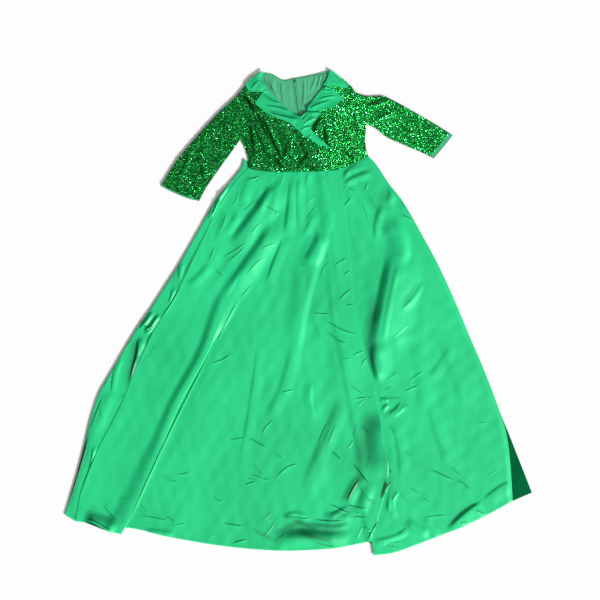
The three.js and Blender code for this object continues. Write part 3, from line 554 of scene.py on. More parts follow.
LEFT_FOLDS = on_squares([
    ((395, 252), (386, 296), (375, 350), 110, 12, 0.28), ((377, 340), (375, 362), (373, 384), 60, 9, 0.4),
    ((399, 262), (390, 300), (381, 352), 14, 1.6, 0.8), ((402, 236), (390, 300), (378, 366), 90, 4, 1),
    ((397, 268), (403, 243), (387, 216), 60, 8, 0.45), ((384, 204), (377, 222), (377, 242), 20, 3, 0.6),
    ((390, 182), (392, 194), (386, 206), 22, 4, 0.8), ((424, 280), (414, 297), (402, 311), 16, 2.5, 0.6),
    ((483, 502), (465, 513), (447, 531), 56, 7, 0.16), ((512, 482), (497, 489), (482, 502), 40, 3.5, 0.2),
    ((410, 528), (393, 537), (369, 542), 18, 3.5, 0.5), ((430, 534), (417, 529), (405, 520), 24, 5, 1),
    ((424, 516), (431, 528), (440, 538), 20, 3, 1), ((357, 163), (348, 171), (340, 181), 16, 2.6, 0.6),
    ((373, 173), (356, 178), (340, 187), 18, 2.6, 0.6), ((371, 159), (360, 167), (350, 171), 14, 2.2, 0.6),
    ((389, 401), (384, 399), (378, 401), 11, 4, 0.6), ((389, 403), (384, 408), (379, 412), 11, 4, 0.6),
    ((401, 402), (396, 409), (388, 414), 11, 4, 0.6), ((405, 404), (399, 411), (392, 416), 11, 3, 0.6),
    ((440, 330), (455, 370), (470, 410), 60, 3, 0.5), ((430, 400), (440, 440), (452, 470), 40, 2.5, 0.5),
    ((412, 340), (422, 380), (424, 420), 44, 2.5, 0.6), ((452, 345), (440, 365), (428, 380), 30, 2, 0.5),
    ((392, 345), (404, 338), (420, 334), 24, 0.8, 0.6), ((394, 420), (400, 450), (402, 480), 30, 2.5, 0.5),
    ((398, 520), (392, 505), (398, 488), 18, 3, 0.7), ((390, 515), (388, 498), (392, 484), 14, 4, 0.7),
])
LEFT_CREASES = on_squares([
    ((471, 493), (464, 484), (456, 481), 2.6), ((456, 481), (442, 475), (428, 468), 2.6),
    ((461, 476), (456, 472), (452, 466), 2), ((450, 460), (445, 452), (439, 440), 1.4),
    ((420, 495), (415, 491), (410, 487), 1.8), ((432, 503), (426, 500), (421, 497), 1.4),
    ((396, 435), (393, 430), (389, 424), 2), ((411, 457), (408, 455), (405, 450), 1.2),
    ((413, 222), (408, 218), (400, 215), 2), ((404, 211), (402, 205), (400, 201), 1.6),
    ((367, 182), (366, 187), (364, 191), 2.4), ((352, 196), (348, 202), (343, 207), 2),
    ((343, 190), (346, 188), (348, 188), 2), ((345, 222), (344, 216), (345, 211), 1.8),
    ((378, 214), (374, 205), (368, 193), 1.6), ((358, 192), (352, 190), (347, 186), 1.4),
    ((424, 370), (416, 376), (408, 382), 1.4), ((420, 385), (412, 388), (404, 392), 2),
    ((400, 384), (390, 388), (384, 392), 1.6), ((398, 372), (392, 376), (386, 381), 1.2),
    ((392, 475), (389, 470), (386, 464), 2.6), ((398, 490), (395, 496), (391, 500), 2.4),
    ((391, 482), (387, 487), (384, 494), 3.6), ((485, 515), (480, 512), (474, 509), 2.4),
    ((468, 523), (464, 522), (459, 524), 2), ((410, 505), (404, 498), (402, 490), 1.4),
    ((486, 421), (482, 423), (477, 422), 1.2), ((396, 548), (391, 546), (386, 543), 1.8),
    ((402, 541), (392, 543), (378, 543), 1.4), ((376, 552), (372, 550), (373, 546), 1.8),
    ((398, 533), (403, 531), (408, 527), 2.4), ((450, 515), (436, 516), (424, 517), 1.6),
    ((392, 340), (400, 332), (412, 322), 1.2), ((402, 310), (407, 305), (412, 298), 1.8),
    ((362, 202), (366, 212), (369, 222), 1.2), ((482, 480), (492, 474), (500, 468), 1),
    ((386, 394), (392, 388), (396, 385), 1.4), ((410, 408), (406, 404), (404, 398), 1.2),
])
# painted shade in the under panel's deep folds and beside the wrap's edge
LEFT_PAINTED_SHADE = on_squares([
    ((378, 290), (371, 336), (377, 384), 30, 0.95, 1), ((398, 262), (390, 290), (384, 330), 12, 0.3, 1),
    ((386, 448), (388, 475), (394, 502), 18, 0.4, 1), ((468, 506), (456, 518), (446, 530), 14, 0.3, 1),
    ((359, 161), (350, 168), (341, 180), 9, 0.8, 1), ((374, 170), (357, 175), (342, 184), 9, 0.7, 1),
    ((370, 157), (359, 163), (352, 170), 8, 0.5, 1), ((386, 186), (380, 205), (374, 236), 18, 0.45, 1),
    ((418, 278), (411, 292), (400, 306), 9, 0.5, 1), ((382, 222), (388, 236), (392, 254), 18, 0.3, 1),
    ((410, 405), (396, 410), (382, 418), 12, 0.5, 1), ((402, 398), (392, 398), (380, 401), 8, 0.6, 1),
])


WAVES = 8
FAN_X, FAN_DOWN = 20, 60  # where the folds of the skirt fan out from


def unevenness(x, down, size, seed):
    """a gentle swell of the cloth, mostly between -1 and 1, with crests about size apart"""
    draw = np.random.default_rng(seed)
    total = np.zeros(np.shape(x))
    for _ in range(WAVES):
        way, phase = draw.uniform(0, 2 * math.pi, 2)
        wave = 2 * math.pi / size * draw.uniform(0.6, 1.6)
        total += np.sin(wave * (x * math.cos(way) + down * math.sin(way)) + phase)
    return total / WAVES ** 0.5


def streaks(x, down, seed):
    """long shallow folds that fan out from the waist"""
    way = np.arctan2(x - FAN_X, down - FAN_DOWN)
    reach = np.hypot(x - FAN_X, down - FAN_DOWN)
    return unevenness(way * 900, reach * 0.16, 95, seed)


wrap_x, under_x, left_side_x = x_on(WRAP_EDGE), x_on(UNDER_EDGE), x_on(LEFT_SIDE)
_u, _v = grid(150, 300)
_plan = spanned(line(WAIST_LEFT, (0, SEAM)), HEM_LEFT, UNDER_EDGE, LEFT_SIDE)(_u, _v)
_x, _down = _plan[..., 0], _plan[..., 1]
_shown = smooth((_x - wrap_x(_down) - 6) / 18)
_to_side = smooth((left_side_x(_down) - _x) / 16)
_swell = 0.6 + 0.5 * streaks(_x, _down, 5) + 0.3 * unevenness(_x, _down, 60, 6)
_folds = fold_rise(LEFT_FOLDS, _x, _down) + np.maximum(_swell, -0.5)
_folds = _folds * _shown * smooth((_down - 290) / 30)
_height = np.maximum(LAYER, LAYER + (LOFT + _folds) * _to_side)
skirt_front_left = open_cloth("skirt_front_left_cloth", raised(_plan, _height + UNDER_RISE), satin,
                              LEFT_CREASES, LEFT_PAINTED_SHADE)
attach(skirt_front_left, "root")
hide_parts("skirt_front_left")

# ---------------------------------------------------------------------------------------
# Front of the skirt, wrap layer: the wearer's right panel, a wide piece of satin gathered a
# little at the waist. One deep pleat-like fold starts halfway down and laps over towards the
# hem, and soft folds fan out from the waist.
# ---------------------------------------------------------------------------------------
LAP_LIFT = 2.8
LAP_RAMP = 22
PLEAT = dict(roll=1.8, ridge_from=600, fold_from=700, growth=200, lap=30, lap_growth=640, run=26,
             plateau=14, crown=0.8, slant=0.32)
BEFORE_COLUMNS, AFTER_COLUMNS, WRAP_ROWS = 36, 250, 290  # of the grid, before and after the pleat
WAIST_RIGHT = [[-154, 304], [-130, 310.5], [-105, 314], [-30, 316], [40, 315], [125, 310]]
PLEAT_LINE = [
    [-30, 316], [-70, 390], [-105, 500], [-150, 630], [-210, 745], [-290, 900], [-365, 1035],
    [-435, 1205], [-510, 1375], [-546, 1437],
]
HEM_RIGHT = [
    [-690, 1397], [-666, 1400], [-640, 1399], [-626, 1405], [-608, 1416], [-585, 1427], [-546, 1437],
]
HEM_MIDDLE = [
    [-567, 1417], [-530, 1418], [-400, 1446], [-290, 1466], [-175, 1481], [-45, 1489],
    [50, 1486], [120, 1480], [225, 1460],
]
RIGHT_FOLDS = on_squares([
    ((285, 178), (257, 215), (230, 250), 60, 9, 0.45), ((281, 218), (252, 260), (226, 300), 55, 10, 0.5),
    ((293, 174), (290, 205), (286, 238), 34, 4, 0.4), ((286, 236), (276, 260), (267, 286), 30, 3.5, 0.4),
    ((324, 232), (316, 250), (306, 266), 36, 6, 0.7), ((294, 365), (306, 295), (334, 205), 60, 4.5, 0.4),
    ((296, 340), (284, 385), (266, 422), 34, 3, 0.6), ((344, 398), (326, 440), (302, 498), 40, 3.5, 0.6),
    ((260, 340), (252, 400), (240, 470), 30, 2, 0.4), ((347, 335), (343, 372), (338, 402), 80, 4, 0.8),
    ((379, 410), (383, 446), (387, 478), 56, 12, 1), ((362, 474), (352, 490), (345, 504), 32, 3.5, 0.7),
    ((350, 541), (313, 537), (274, 540), 36, 13, 0.85), ((354, 521), (338, 517), (324, 521), 26, 5, 1),
    ((119, 534), (101, 528), (83, 520), 46, 13, 1), ((176, 534), (160, 532), (146, 530), 14, 4, 0.8),
    ((392, 478), (388, 488), (384, 500), 18, 5, 0.8), ((228, 212), (222, 228), (214, 246), 26, 2, 0.6),
    ((212, 262), (200, 276), (186, 288), 24, 2.5, 0.6), ((222, 360), (200, 420), (170, 500), 70, 2, 1),
    ((316, 210), (310, 225), (304, 236), 24, 2.5, 0.6), ((350, 505), (338, 512), (330, 516), 14, 3.5, 0.6),
    ((352, 524), (330, 527), (306, 524), 14, 4, 0.8), ((372, 480), (364, 500), (360, 515), 30, 4, 0.8),
    ((300, 176), (299, 200), (300, 232), 22, 2.5, 0.5), ((316, 420), (310, 400), (312, 380), 26, 2.5, 0.4),
    ((252, 174), (246, 190), (240, 204), 26, 2.5, 0.6), ((270, 186), (264, 200), (258, 212), 20, 2, 0.6),
    ((240, 214), (232, 224), (226, 236), 22, 2.5, 0.6), ((310, 520), (296, 514), (284, 519), 16, 4, 0.8),
])
RIGHT_CREASES = on_squares([
    ((256, 200), (250, 206), (243, 212), 1.4), ((226, 212), (224, 222), (219, 232), 1.4),
    ((214, 246), (212, 254), (208, 262), 1.4), ((238, 192), (236, 200), (232, 206), 1.4),
    ((262, 222), (256, 228), (250, 236), 1.2), ((276, 244), (268, 246), (262, 250), 1.6),
    ((252, 284), (246, 292), (240, 298), 1.6), ((300, 264), (306, 265), (312, 264), 1.6),
    ((328, 262), (324, 268), (320, 276), 1.2), ((233, 184), (206, 230), (181, 286), 2.6),
    ((181, 286), (171, 304), (160, 319), 2.6), ((158, 322), (140, 360), (112, 420), 1.2),
    ((110, 424), (92, 464), (78, 506), 1.2), ((266, 173), (256, 178), (247, 179), 2.6),
    ((286, 218), (276, 212), (262, 205), 2.2), ((284, 218), (280, 214), (273, 216), 2.4),
    ((248, 242), (236, 250), (221, 259), 1.8), ((246, 246), (238, 254), (228, 262), 1.8),
    ((266, 257), (256, 264), (246, 277), 1.6), ((232, 353), (222, 360), (211, 363), 2.2),
    ((268, 449), (258, 443), (248, 437), 2.6), ((247, 437), (238, 439), (228, 440), 1.4),
    ((270, 480), (262, 478), (247, 473), 2), ((257, 482), (250, 483), (246, 485), 2.6),
    ((263, 477), (258, 470), (254, 463), 1.8), ((300, 465), (288, 467), (273, 481), 2.2),
    ((191, 471), (184, 474), (177, 474), 1.8), ((180, 481), (170, 480), (162, 472), 1.4),
    ((224, 498), (219, 501), (213, 494), 1.8), ((275, 419), (266, 427), (262, 436), 2),
    ((295, 390), (288, 391), (281, 393), 2), ((244, 527), (234, 525), (222, 523), 2.6),
    ((312, 519), (300, 518), (287, 516), 2.8), ((345, 520), (330, 521), (312, 519), 3),
    ((338, 546), (325, 545), (312, 540), 3.4), ((248, 540), (240, 541), (232, 544), 3),
    ((176, 524), (171, 519), (165, 516), 2.4), ((172, 521), (155, 518), (140, 515), 2),
    ((150, 514), (145, 510), (141, 503), 1.6), ((186, 524), (180, 524), (172, 527), 1.6),
    ((262, 538), (270, 530), (276, 520), 2), ((272, 545), (280, 538), (287, 534), 2.2),
    ((260, 520), (267, 518), (272, 510), 1.8), ((206, 541), (214, 535), (224, 534), 1.4),
    ((369, 486), (361, 474), (351, 461), 4), ((341, 461), (337, 456), (331, 451), 3),
    ((360, 478), (352, 490), (347, 502), 3.6), ((350, 513), (340, 509), (329, 503), 3.2),
    ((369, 509), (356, 507), (345, 504), 2.6), ((367, 518), (360, 517), (352, 517), 2.4),
    ((381, 515), (374, 528), (367, 540), 4), ((356, 541), (360, 532), (364, 524), 2),
    ((372, 531), (367, 528), (361, 525), 2), ((364, 493), (370, 500), (378, 504), 1.6),
    ((359, 485), (364, 492), (372, 498), 1.6), ((330, 314), (322, 314), (313, 313), 2),
    ((358, 334), (342, 330), (322, 318), 2.4), ((348, 343), (337, 340), (325, 328), 2.4),
    ((322, 345), (318, 332), (314, 318), 1.6), ((352, 289), (345, 294), (339, 301), 2.4),
    ((354, 306), (350, 305), (345, 306), 1.8), ((350, 271), (347, 273), (343, 275), 1.8),
    ((362, 263), (356, 263), (349, 263), 1.8), ((348, 258), (340, 262), (334, 267), 1.8),
    ((364, 351), (358, 353), (353, 356), 1.8), ((367, 357), (364, 361), (361, 366), 2),
    ((350, 357), (346, 359), (341, 358), 1.2), ((374, 398), (364, 398), (352, 399), 2.2),
    ((363, 395), (358, 391), (351, 385), 1.8), ((357, 408), (362, 402), (368, 398), 1.6),
    ((353, 440), (356, 430), (358, 420), 1.8), ((347, 449), (351, 445), (354, 438), 2),
    ((370, 437), (366, 430), (361, 426), 2), ((366, 470), (369, 462), (370, 454), 1.6),
    ((318, 205), (310, 214), (305, 224), 1.4), ((322, 175), (326, 180), (330, 186), 1.2),
    ((262, 186), (270, 190), (278, 189), 1.2), ((216, 271), (220, 273), (225, 277), 2),
    ((303, 207), (312, 200), (320, 194), 1.4), ((335, 425), (332, 434), (327, 446), 1.6),
    ((328, 422), (322, 434), (318, 446), 1.4), ((276, 456), (280, 456), (285, 458), 2),
    ((264, 350), (260, 345), (257, 338), 1), ((120, 498), (126, 499), (134, 497), 1.2),
    ((116, 512), (122, 513), (128, 515), 1.4), ((104, 505), (110, 512), (118, 520), 2),
    ((86, 516), (92, 510), (102, 506), 1.4), ((150, 354), (154, 350), (157, 344), 1.6),
    ((146, 360), (150, 356), (154, 352), 1.4), ((263, 171), (260, 177), (255, 185), 1.1),
    ((279, 171), (276, 176), (275, 181), 0.8), ((284, 172), (282, 180), (278, 190), 1.2),
    ((297, 171), (298, 174), (297, 177), 0.7), ((309, 171), (307, 179), (305, 188), 1),
    ((327, 170), (328, 174), (326, 182), 0.9),
]) + [([-180, 700], [-225, 790], [-275, 885], 2.4), ([-250, 836], [-396, 1120], [-538, 1440], 3.4)]
# painted shade in the wrap panel's deep folds, its pocket and its crumpled hem
RIGHT_PAINTED_SHADE = on_squares([
    ((376, 408), (367, 440), (360, 476), 50, 0.75, 1), ((363, 472), (353, 488), (343, 506), 20, 0.9, 1),
    ((352, 524), (318, 530), (278, 531), 38, 0.75, 1), ((348, 541), (320, 538), (296, 529), 14, 0.6, 1),
    ((306, 518), (288, 527), (270, 534), 14, 0.6, 1), ((352, 504), (344, 512), (324, 519), 20, 0.5, 1),
    ((342, 396), (324, 440), (303, 500), 34, 0.35, 1), ((384, 440), (385, 470), (384, 494), 14, 0.5, 1),
    ((281, 514), (296, 520), (318, 530), 11, 0.6, 1), ((252, 528), (262, 534), (278, 541), 9, 0.5, 1),
    ((122, 522), (100, 517), (82, 514), 22, 0.7, 1), ((264, 210), (236, 250), (212, 284), 16, 0.3, 1),
    ((326, 255), (312, 275), (302, 300), 14, 0.25, 1),
])

pleat_x = x_on(PLEAT_LINE)


def lap_rise(x, edge_x):
    return LAP_LIFT * smooth((x - edge_x + LAP_RAMP + 4) / LAP_RAMP)


def wrap_height(plan, calm):
    x, down = plan[..., 0], plan[..., 1]
    swell = 0.6 + 0.45 * streaks(x, down, 2) + 0.3 * unevenness(x, down, 55, 3)
    swell = np.maximum(swell, -0.4) * smooth((under_x(down) - x + 40) / 40)
    folds = fold_rise(RIGHT_FOLDS, x, down) + swell
    folds = folds * smooth((down - WAIST_DOWN) / 30) * calm
    return np.maximum(LAYER, FRONT + folds + lap_rise(x, under_x(down))) + HALF_WALL


def pleat_state(t):
    """the pleat's line, how far it has risen and turned over, and its section there"""
    t = np.atleast_1d(t)
    place = line(PLEAT_LINE)(t)
    down = place[:, 1]
    ridge = smooth((down - PLEAT["ridge_from"]) / 200)
    turned = smooth((down - PLEAT["fold_from"]) / PLEAT["growth"])[:, None]
    lap = (4 + PLEAT["lap"] * smooth((down - PLEAT["fold_from"]) / PLEAT["lap_growth"]))[:, None]
    r, turn = PLEAT["roll"], np.radians([72, 48, 24, 0, -24, -48, -72])
    flat = np.ones_like(lap)
    side = np.concatenate([-r * flat, r * (np.cos(turn) - 1) * flat, -r * flat, -lap / 2, r - lap,
                           r * (1 - np.cos(turn)) - lap, r - lap], 1)
    up = np.concatenate([[4 * r], r * (3 + np.sin(turn)), [2 * r] * 3, r * (1 + np.sin(turn)), [0]])
    s = np.linspace(0, 1, len(up))
    side = mix(mix(-25, 25, s), side, turned)
    up = mix(4 * r * (1 - smooth(s)), up, turned)
    lean = PLEAT["slant"] * smooth((down - WAIST_DOWN) / 300)
    return place, ridge, side, up, lean


def pleat_edge(which):
    def edge(t):
        place, _, side, _, lean = pleat_state(t)
        s = side[:, which]
        moved = place + np.stack([s * np.sqrt(1 - lean ** 2), s * lean], -1)
        return moved if np.ndim(t) else moved[0]

    return edge


_v = np.linspace(0, 1, WRAP_ROWS + 1)
_place, _ridge, _side, _upward, _lean = pleat_state(_v)
_slope_edge, _hidden_edge = pleat_edge(0), pleat_edge(-1)
_waist = line(WAIST_RIGHT, (0, SEAM))
_parts = [float(np.interp(edge(0.0)[0], _waist(FINE)[:, 0], FINE))
          for edge in (_slope_edge, _hidden_edge)]
_before = spanned(line(_waist, part=(0, _parts[0])), [*HEM_RIGHT[:-1], _slope_edge(1.0).tolist()],
                  SIDE_SEAM, _slope_edge)
_after = spanned(line(_waist, part=(_parts[1], 1)), [_hidden_edge(1.0).tolist(), *HEM_MIDDLE[1:]],
                 _hidden_edge, WRAP_EDGE)
_plans, _pressed, _lifted, _calm = [], [], [], []
for _share in np.arange(BEFORE_COLUMNS) / BEFORE_COLUMNS:
    _plan = _before(_share, _v)
    _gap = np.linalg.norm(_slope_edge(_v) - _plan, axis=1)
    _plans.append(_plan)
    _pressed.append(0 * _v)
    _calm.append(1 - _ridge * (1 - smooth(_gap / 45)))
    _run = PLEAT["run"] + 30 * smooth((_v - 0.65) / 0.35)
    _lifted.append(_ridge * (_upward[:, 0] * smooth(1 - (_gap - PLEAT["plateau"]) / _run)
                             + PLEAT["crown"] * np.exp(-((_gap - 11) / 11) ** 2)))
for _k in range(_side.shape[1]):
    _s = _side[:, _k]
    _plans.append(_place + np.stack([_s * np.sqrt(1 - _lean ** 2), _s * _lean], -1))
    _pressed.append(_ridge)
    _calm.append(1 - _ridge)
    _lifted.append(_upward[:, _k] * _ridge)
for _share in np.arange(1, AFTER_COLUMNS + 1) / AFTER_COLUMNS:
    _plan = _after(_share, _v)
    _plans.append(_plan)
    _past = _plan[:, 0] - np.maximum(pleat_x(_plan[:, 1]), _hidden_edge(_v)[:, 0])
    _pressed.append(_ridge * (1 - smooth(_past / 4)))
    _calm.append(1 - _ridge * (1 - smooth(_past / 40)))
    _lifted.append(0 * _v)
_plan = np.stack(_plans, 1)
_flat = wrap_height(_plan, np.stack(_calm, 1))
_wrap = raised(_plan, mix(_flat, FRONT_MID, np.stack(_pressed, 1)) + np.stack(_lifted, 1))
skirt_front_right = open_cloth("skirt_front_right_cloth", _wrap, satin, RIGHT_CREASES,
                               RIGHT_PAINTED_SHADE)
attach(skirt_front_right, "root")
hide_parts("skirt_front_right")

# ---------------------------------------------------------------------------------------
# Back of the bodice: two halves of sequin net on a woven ground, face down under everything.
# Only slivers of their edges show past the front.
# ---------------------------------------------------------------------------------------
SIDE_RIGHT = [
    [-158, 43], [-167, 108], [-174, 170], [-177, 214], [-164, 242], [-157, 264], [-153, 279],
    [-154, 303.5],
]
SIDE_LEFT = [[164, 50], [183, 93], [198, 130], [211, 167], [208, 211], [211, 246], [217, 265.5]]
BACK_CLOTH = 1.3
sequin_ground = woven_finish("sequin ground", dark=(0.0005, 0.045, 0.006), pale=(0.001, 0.080, 0.012),
                             roughness=0.75, crumple=0.0015, sharpness=0.4, thread=0.00015,
                             scale=60.0, specular=0.1)
lining = woven_finish("matte lining", dark=(0.055, 0.400, 0.190), pale=(0.085, 0.520, 0.265),
                      roughness=0.75, crumple=0.0030, sharpness=0.3, thread=0.00012, scale=30.0,
                      sheen=0.1)


def bodice_back(name, top, bottom, left, right):
    u, v = grid(40, 60)
    plan = spanned(top, bottom, left, right)(u, v)
    lower, upper = sides_of(raised(plan, HALF_WALL), BACK_CLOTH)
    half = cloth(name + "_cloth", lower, upper, lining, sequin_ground)
    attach(half, "root")
    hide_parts(name)


bodice_back("bodice_back_right",
            [[-158, 43], [-132, 22], [-108, 9], [-80, 13], [-43, 31], [-12, 26]],
            [[-158, 266], [-146, 279], [-118, 296], [-56, 312], [-5, 314]],
            [[-158, 43], [-167, 108], [-174, 170], [-177, 214], [-164, 242], [-158, 266]],
            [[-12, 26], [-5, 314]])
bodice_back("bodice_back_left",
            [[-11, 26], [25, 19], [56, 12], [102, 3], [133, 24], [164, 50]],
            [[-4, 314], [68, 312], [133, 304], [174, 286], [216, 264]],
            [[-11, 26], [-4, 314]],
            [*SIDE_LEFT[:-1], [216, 264]])

# ---------------------------------------------------------------------------------------
# Back lining and zip: two halves of thin matte lining, wrinkled where they hang from the
# neck, either side of a concealed zip seen from its inside, with its coil and slider.
# ---------------------------------------------------------------------------------------
ZIP_LINE = [[-11, 27], [-7, 60], [3, 148]]
ZIP_TOP, ZIP_LENGTH = 27, 121.5
TAPE_HALF = 3
LINING_CLOTH = 0.8
SLIDER_FROM, SLIDER_LENGTH, SLIDER_HALF = 31, 9, 2.6
LINING_FOLDS = on_squares([
    ((273, 77), (274, 89), (280, 100), 10, 2.4, 1), ((283, 82), (282, 96), (287, 106), 7, 1.5, 0.6),
    ((293, 80), (295, 95), (297, 111), 5, 1.2, 0.7), ((303, 78), (304, 92), (302, 110), 7, 2.2, 0.6),
    ((309, 77), (308, 87), (309, 96), 4, 0.9, 1), ((315, 76), (314, 83), (309, 92), 10, 1.6, 0.5),
    ((320, 75), (319, 82), (316, 90), 6, 2.6, 0.7), ((268, 77), (271, 84), (274, 91), 6, 1.8, 0.6),
    ((278, 79), (279, 90), (284, 101), 3, 0.6, 1), ((325, 74), (323, 80), (320, 86), 5, 2.4, 0.7),
    ((288, 82), (290, 93), (291, 108), 3, 0.7, 1), ((298, 98), (306, 100), (312, 94), 4, 0.5, 1),
])
# painted shade in the lining's corners and between its wrinkles
LINING_PAINTED_SHADE = on_squares([
    ((332, 72), (325, 82), (318, 89), 12, 0.9, 1), ((261, 75), (267, 84), (275, 93), 10, 0.6, 1),
    ((296, 79), (297, 96), (298, 112), 5, 0.5, 1), ((280, 80), (281, 90), (284, 99), 4, 0.5, 1),
    ((304, 80), (305, 94), (303, 108), 4, 0.45, 1), ((315, 76), (322, 74), (330, 72), 8, 0.5, 1),
])
vee_right_x = x_on([[-112, 5], [-99, 60], [-81, 78], [-56, 102], [-16, 133], [8, 147]])
vee_left_x = x_on([[102, 3], [84, 43], [56, 81], [29, 122], [8, 147]])


def lining_half(name, top, bottom, left, right):
    u, v = grid(60, 60)
    plan = spanned(top, bottom, left, right)(u, v)
    x, down = plan[..., 0], plan[..., 1]
    inside = smooth((np.minimum(x - vee_right_x(down), vee_left_x(down) - x) - 1) / 8)
    height = 0.6 + LAYER + np.maximum(0, fold_rise(LINING_FOLDS, x, down)) * inside
    lower, upper = sides_of(raised(plan, height), LINING_CLOTH)
    half = cloth(name + "_cloth", lower, upper, lining, lining)
    keep_marks(half, [], LINING_PAINTED_SHADE, x, down, sides=2)
    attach(half, "root")
    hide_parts(name)


_beside = [line(ZIP_LINE, (side * (TAPE_HALF + 0.4), 0)) for side in (-1, 1)]
lining_half("lining_back_right", [[-104, 14], [-80, 18], [-43, 35], [-14.4, 29]],
            [[-24, 150], [-0.4, 150]],
            [[-104, 14], [-103, 62], [-86, 86], [-58, 110], [-24, 150]], _beside[0])
lining_half("lining_back_left", [[-7.6, 29], [25, 24], [56, 17], [92, 10]],
            [[6.4, 150], [24, 150]], _beside[1],
            [[92, 10], [88, 44], [62, 84], [36, 124], [24, 150]])

tape = woven_finish("zip tape", dark=(0.045, 0.380, 0.185), pale=(0.060, 0.440, 0.215),
                    roughness=0.7, crumple=0.0002, sharpness=0.2, thread=0.0002, scale=90.0,
                    sheen=0.1)
_v = np.linspace(0, 1, 61)
_zip = line(ZIP_LINE)(_v)
_profile = np.linspace(-1, 1, 13)
_plan = _zip[:, None] + np.stack([_profile * TAPE_HALF, 0 * _profile], -1)[None]
_hump = 1.0 + 1.0 * np.exp(-(_profile * TAPE_HALF / 0.9) ** 2)
zip_tape = cloth("zip_tape_woven", metres(raised(_plan, LAYER)),
                 metres(raised(_plan, LAYER + np.broadcast_to(_hump, (61, 13)))), tape, tape)


def growing_tree(name, sizes, kinds, settings, values, links):
    """a Geometry Nodes tree: its named inputs, its nodes by a short name, their settings and fixed
    values, and what is joined to what"""
    tree = bpy.data.node_groups.new(name, "GeometryNodeTree")
    for label, kind, value in [("Geometry", "NodeSocketGeometry", None), *sizes,
                               ("Finish", "NodeSocketMaterial", None)]:
        socket = tree.interface.new_socket(label, in_out="INPUT", socket_type=kind)
        if value is not None:
            socket.default_value = value
    tree.interface.new_socket("Geometry", in_out="OUTPUT", socket_type="NodeSocketGeometry")
    made = {key: tree.nodes.new(kind) for key, kind in kinds.items()}
    for key, setting, value in settings:
        setattr(made[key], setting, value)
    for key, socket, value in values:
        made[key].inputs[socket].default_value = value
    for start, output, end, socket in links:
        tree.links.new(made[start].outputs[output], made[end].inputs[socket])
    return tree


def grown(name, host, tree, values):
    """what the tree grows on its host, as a plain mesh; the host goes away"""
    step = host.modifiers.new("grown", "NODES")
    step.node_group = tree
    sockets = {s.name: s.identifier for s in tree.interface.items_tree if s.in_out == "INPUT"}
    for label, value in values.items():
        step[sockets[label]] = value
    view = bpy.context.evaluated_depsgraph_get()
    mesh = bpy.data.meshes.new_from_object(host.evaluated_get(view), preserve_all_data_layers=True,
                                           depsgraph=view)
    mesh.name = name
    host.modifiers.remove(step)
    bpy.data.objects.remove(host)
    piece = bpy.data.objects.new(name, mesh)
    bpy.context.scene.collection.objects.link(piece)
    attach(piece, "root")
    return piece


# small rounded pieces set one after another along a path
small_row = growing_tree(
    "row of small pieces",
    [("Pitch", "NodeSocketFloat", 0.004), ("Size", "NodeSocketVector", (0.001, 0.001, 0.001))],
    dict(given="NodeGroupInput", path="GeometryNodeMeshToCurve", steps="GeometryNodeResampleCurve",
         bead="GeometryNodeMeshIcoSphere", along="GeometryNodeInputTangent",
         turn="FunctionNodeAlignRotationToVector", place="GeometryNodeInstanceOnPoints",
         whole="GeometryNodeRealizeInstances", soft="GeometryNodeSetShadeSmooth",
         finish="GeometryNodeSetMaterial", result="NodeGroupOutput"),
    [("steps", "mode", "LENGTH"), ("turn", "axis", "X")],
    [("bead", "Radius", 0.5), ("bead", "Subdivisions", 1)],
    [("given", "Geometry", "path", "Mesh"), ("path", "Curve", "steps", "Curve"),
     ("given", "Pitch", "steps", "Length"), ("along", "Tangent", "turn", "Vector"),
     ("steps", "Curve", "place", "Points"), ("bead", "Mesh", "place", "Instance"),
     ("turn", "Rotation", "place", "Rotation"), ("given", "Size", "place", "Scale"),
     ("place", "Instances", "whole", "Geometry"), ("whole", "Geometry", "soft", "Geometry"),
     ("soft", "Geometry", "finish", "Geometry"), ("given", "Finish", "finish", "Material"),
     ("finish", "Geometry", "result", "Geometry")])


def row_along(name, paths, pitch, size, finish):
    """a row of rounded pieces along each path of places in millimetres; size is along, across, up"""
    mesh = bpy.data.meshes.new(name + "_path")
    count = np.cumsum([0, *(len(path) for path in paths)])
    edges = [(i, i + 1) for a, b in zip(count, count[1:]) for i in range(a, b - 1)]
    mesh.from_pydata(metres(np.concatenate(paths)).tolist(), edges, [])
    host = bpy.data.objects.new(name + "_path", mesh)
    bpy.context.scene.collection.objects.link(host)
    return grown(name, host, small_row,
                 {"Pitch": pitch / 1000, "Size": [s / 1000 for s in size], "Finish": finish})


nylon = woven_finish("zip coil", dark=(0.040, 0.360, 0.170), pale=(0.050, 0.400, 0.190),
                     roughness=0.45, crumple=0.0001, sharpness=0.2, thread=0.00002, scale=90.0)
_coil_path = raised(_zip[:, None], LAYER + 2.05)[:, 0]
zip_coil = row_along("zip_coil", [_coil_path[14:]], 1.25, (0.8, 2.6, 0.9), nylon)
zip_stops = row_along("zip_stops", [_coil_path[3:6]], 2.0, (1.6, 2.4, 1.6), nylon)
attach(zip_tape, "root")
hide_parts("back_zip")

lacquer, _shader, _node, _join = finish_nodes("lacquered metal")
_marks = _node("ShaderNodeTexNoise", {"Scale": 900.0, "Detail": 3.0})
_wear = _node("ShaderNodeValToRGB", {"Fac": _marks.outputs["Fac"]})
_wear.color_ramp.elements[0].color = (0.012, 0.180, 0.080, 1)
_wear.color_ramp.elements[1].color = (0.020, 0.260, 0.120, 1)
_join(_wear.outputs["Color"], "Base Color")
_shader.inputs["Metallic"].default_value = 0.4
_shader.inputs["Roughness"].default_value = 0.3
_t = np.linspace(0, 1, 19)
_widths = np.interp(_t, [0, 0.12, 0.6, 0.9, 1], [0.62, 0.95, 1, 0.72, 0.5]) * SLIDER_HALF
_s = np.linspace(-1, 1, 13)
_centre = line(ZIP_LINE)((SLIDER_FROM - ZIP_TOP + SLIDER_LENGTH * _t) / ZIP_LENGTH)
_plan = _centre[:, None] + np.stack([_widths[:, None] * _s, 0 * _widths[:, None] * _s], -1)
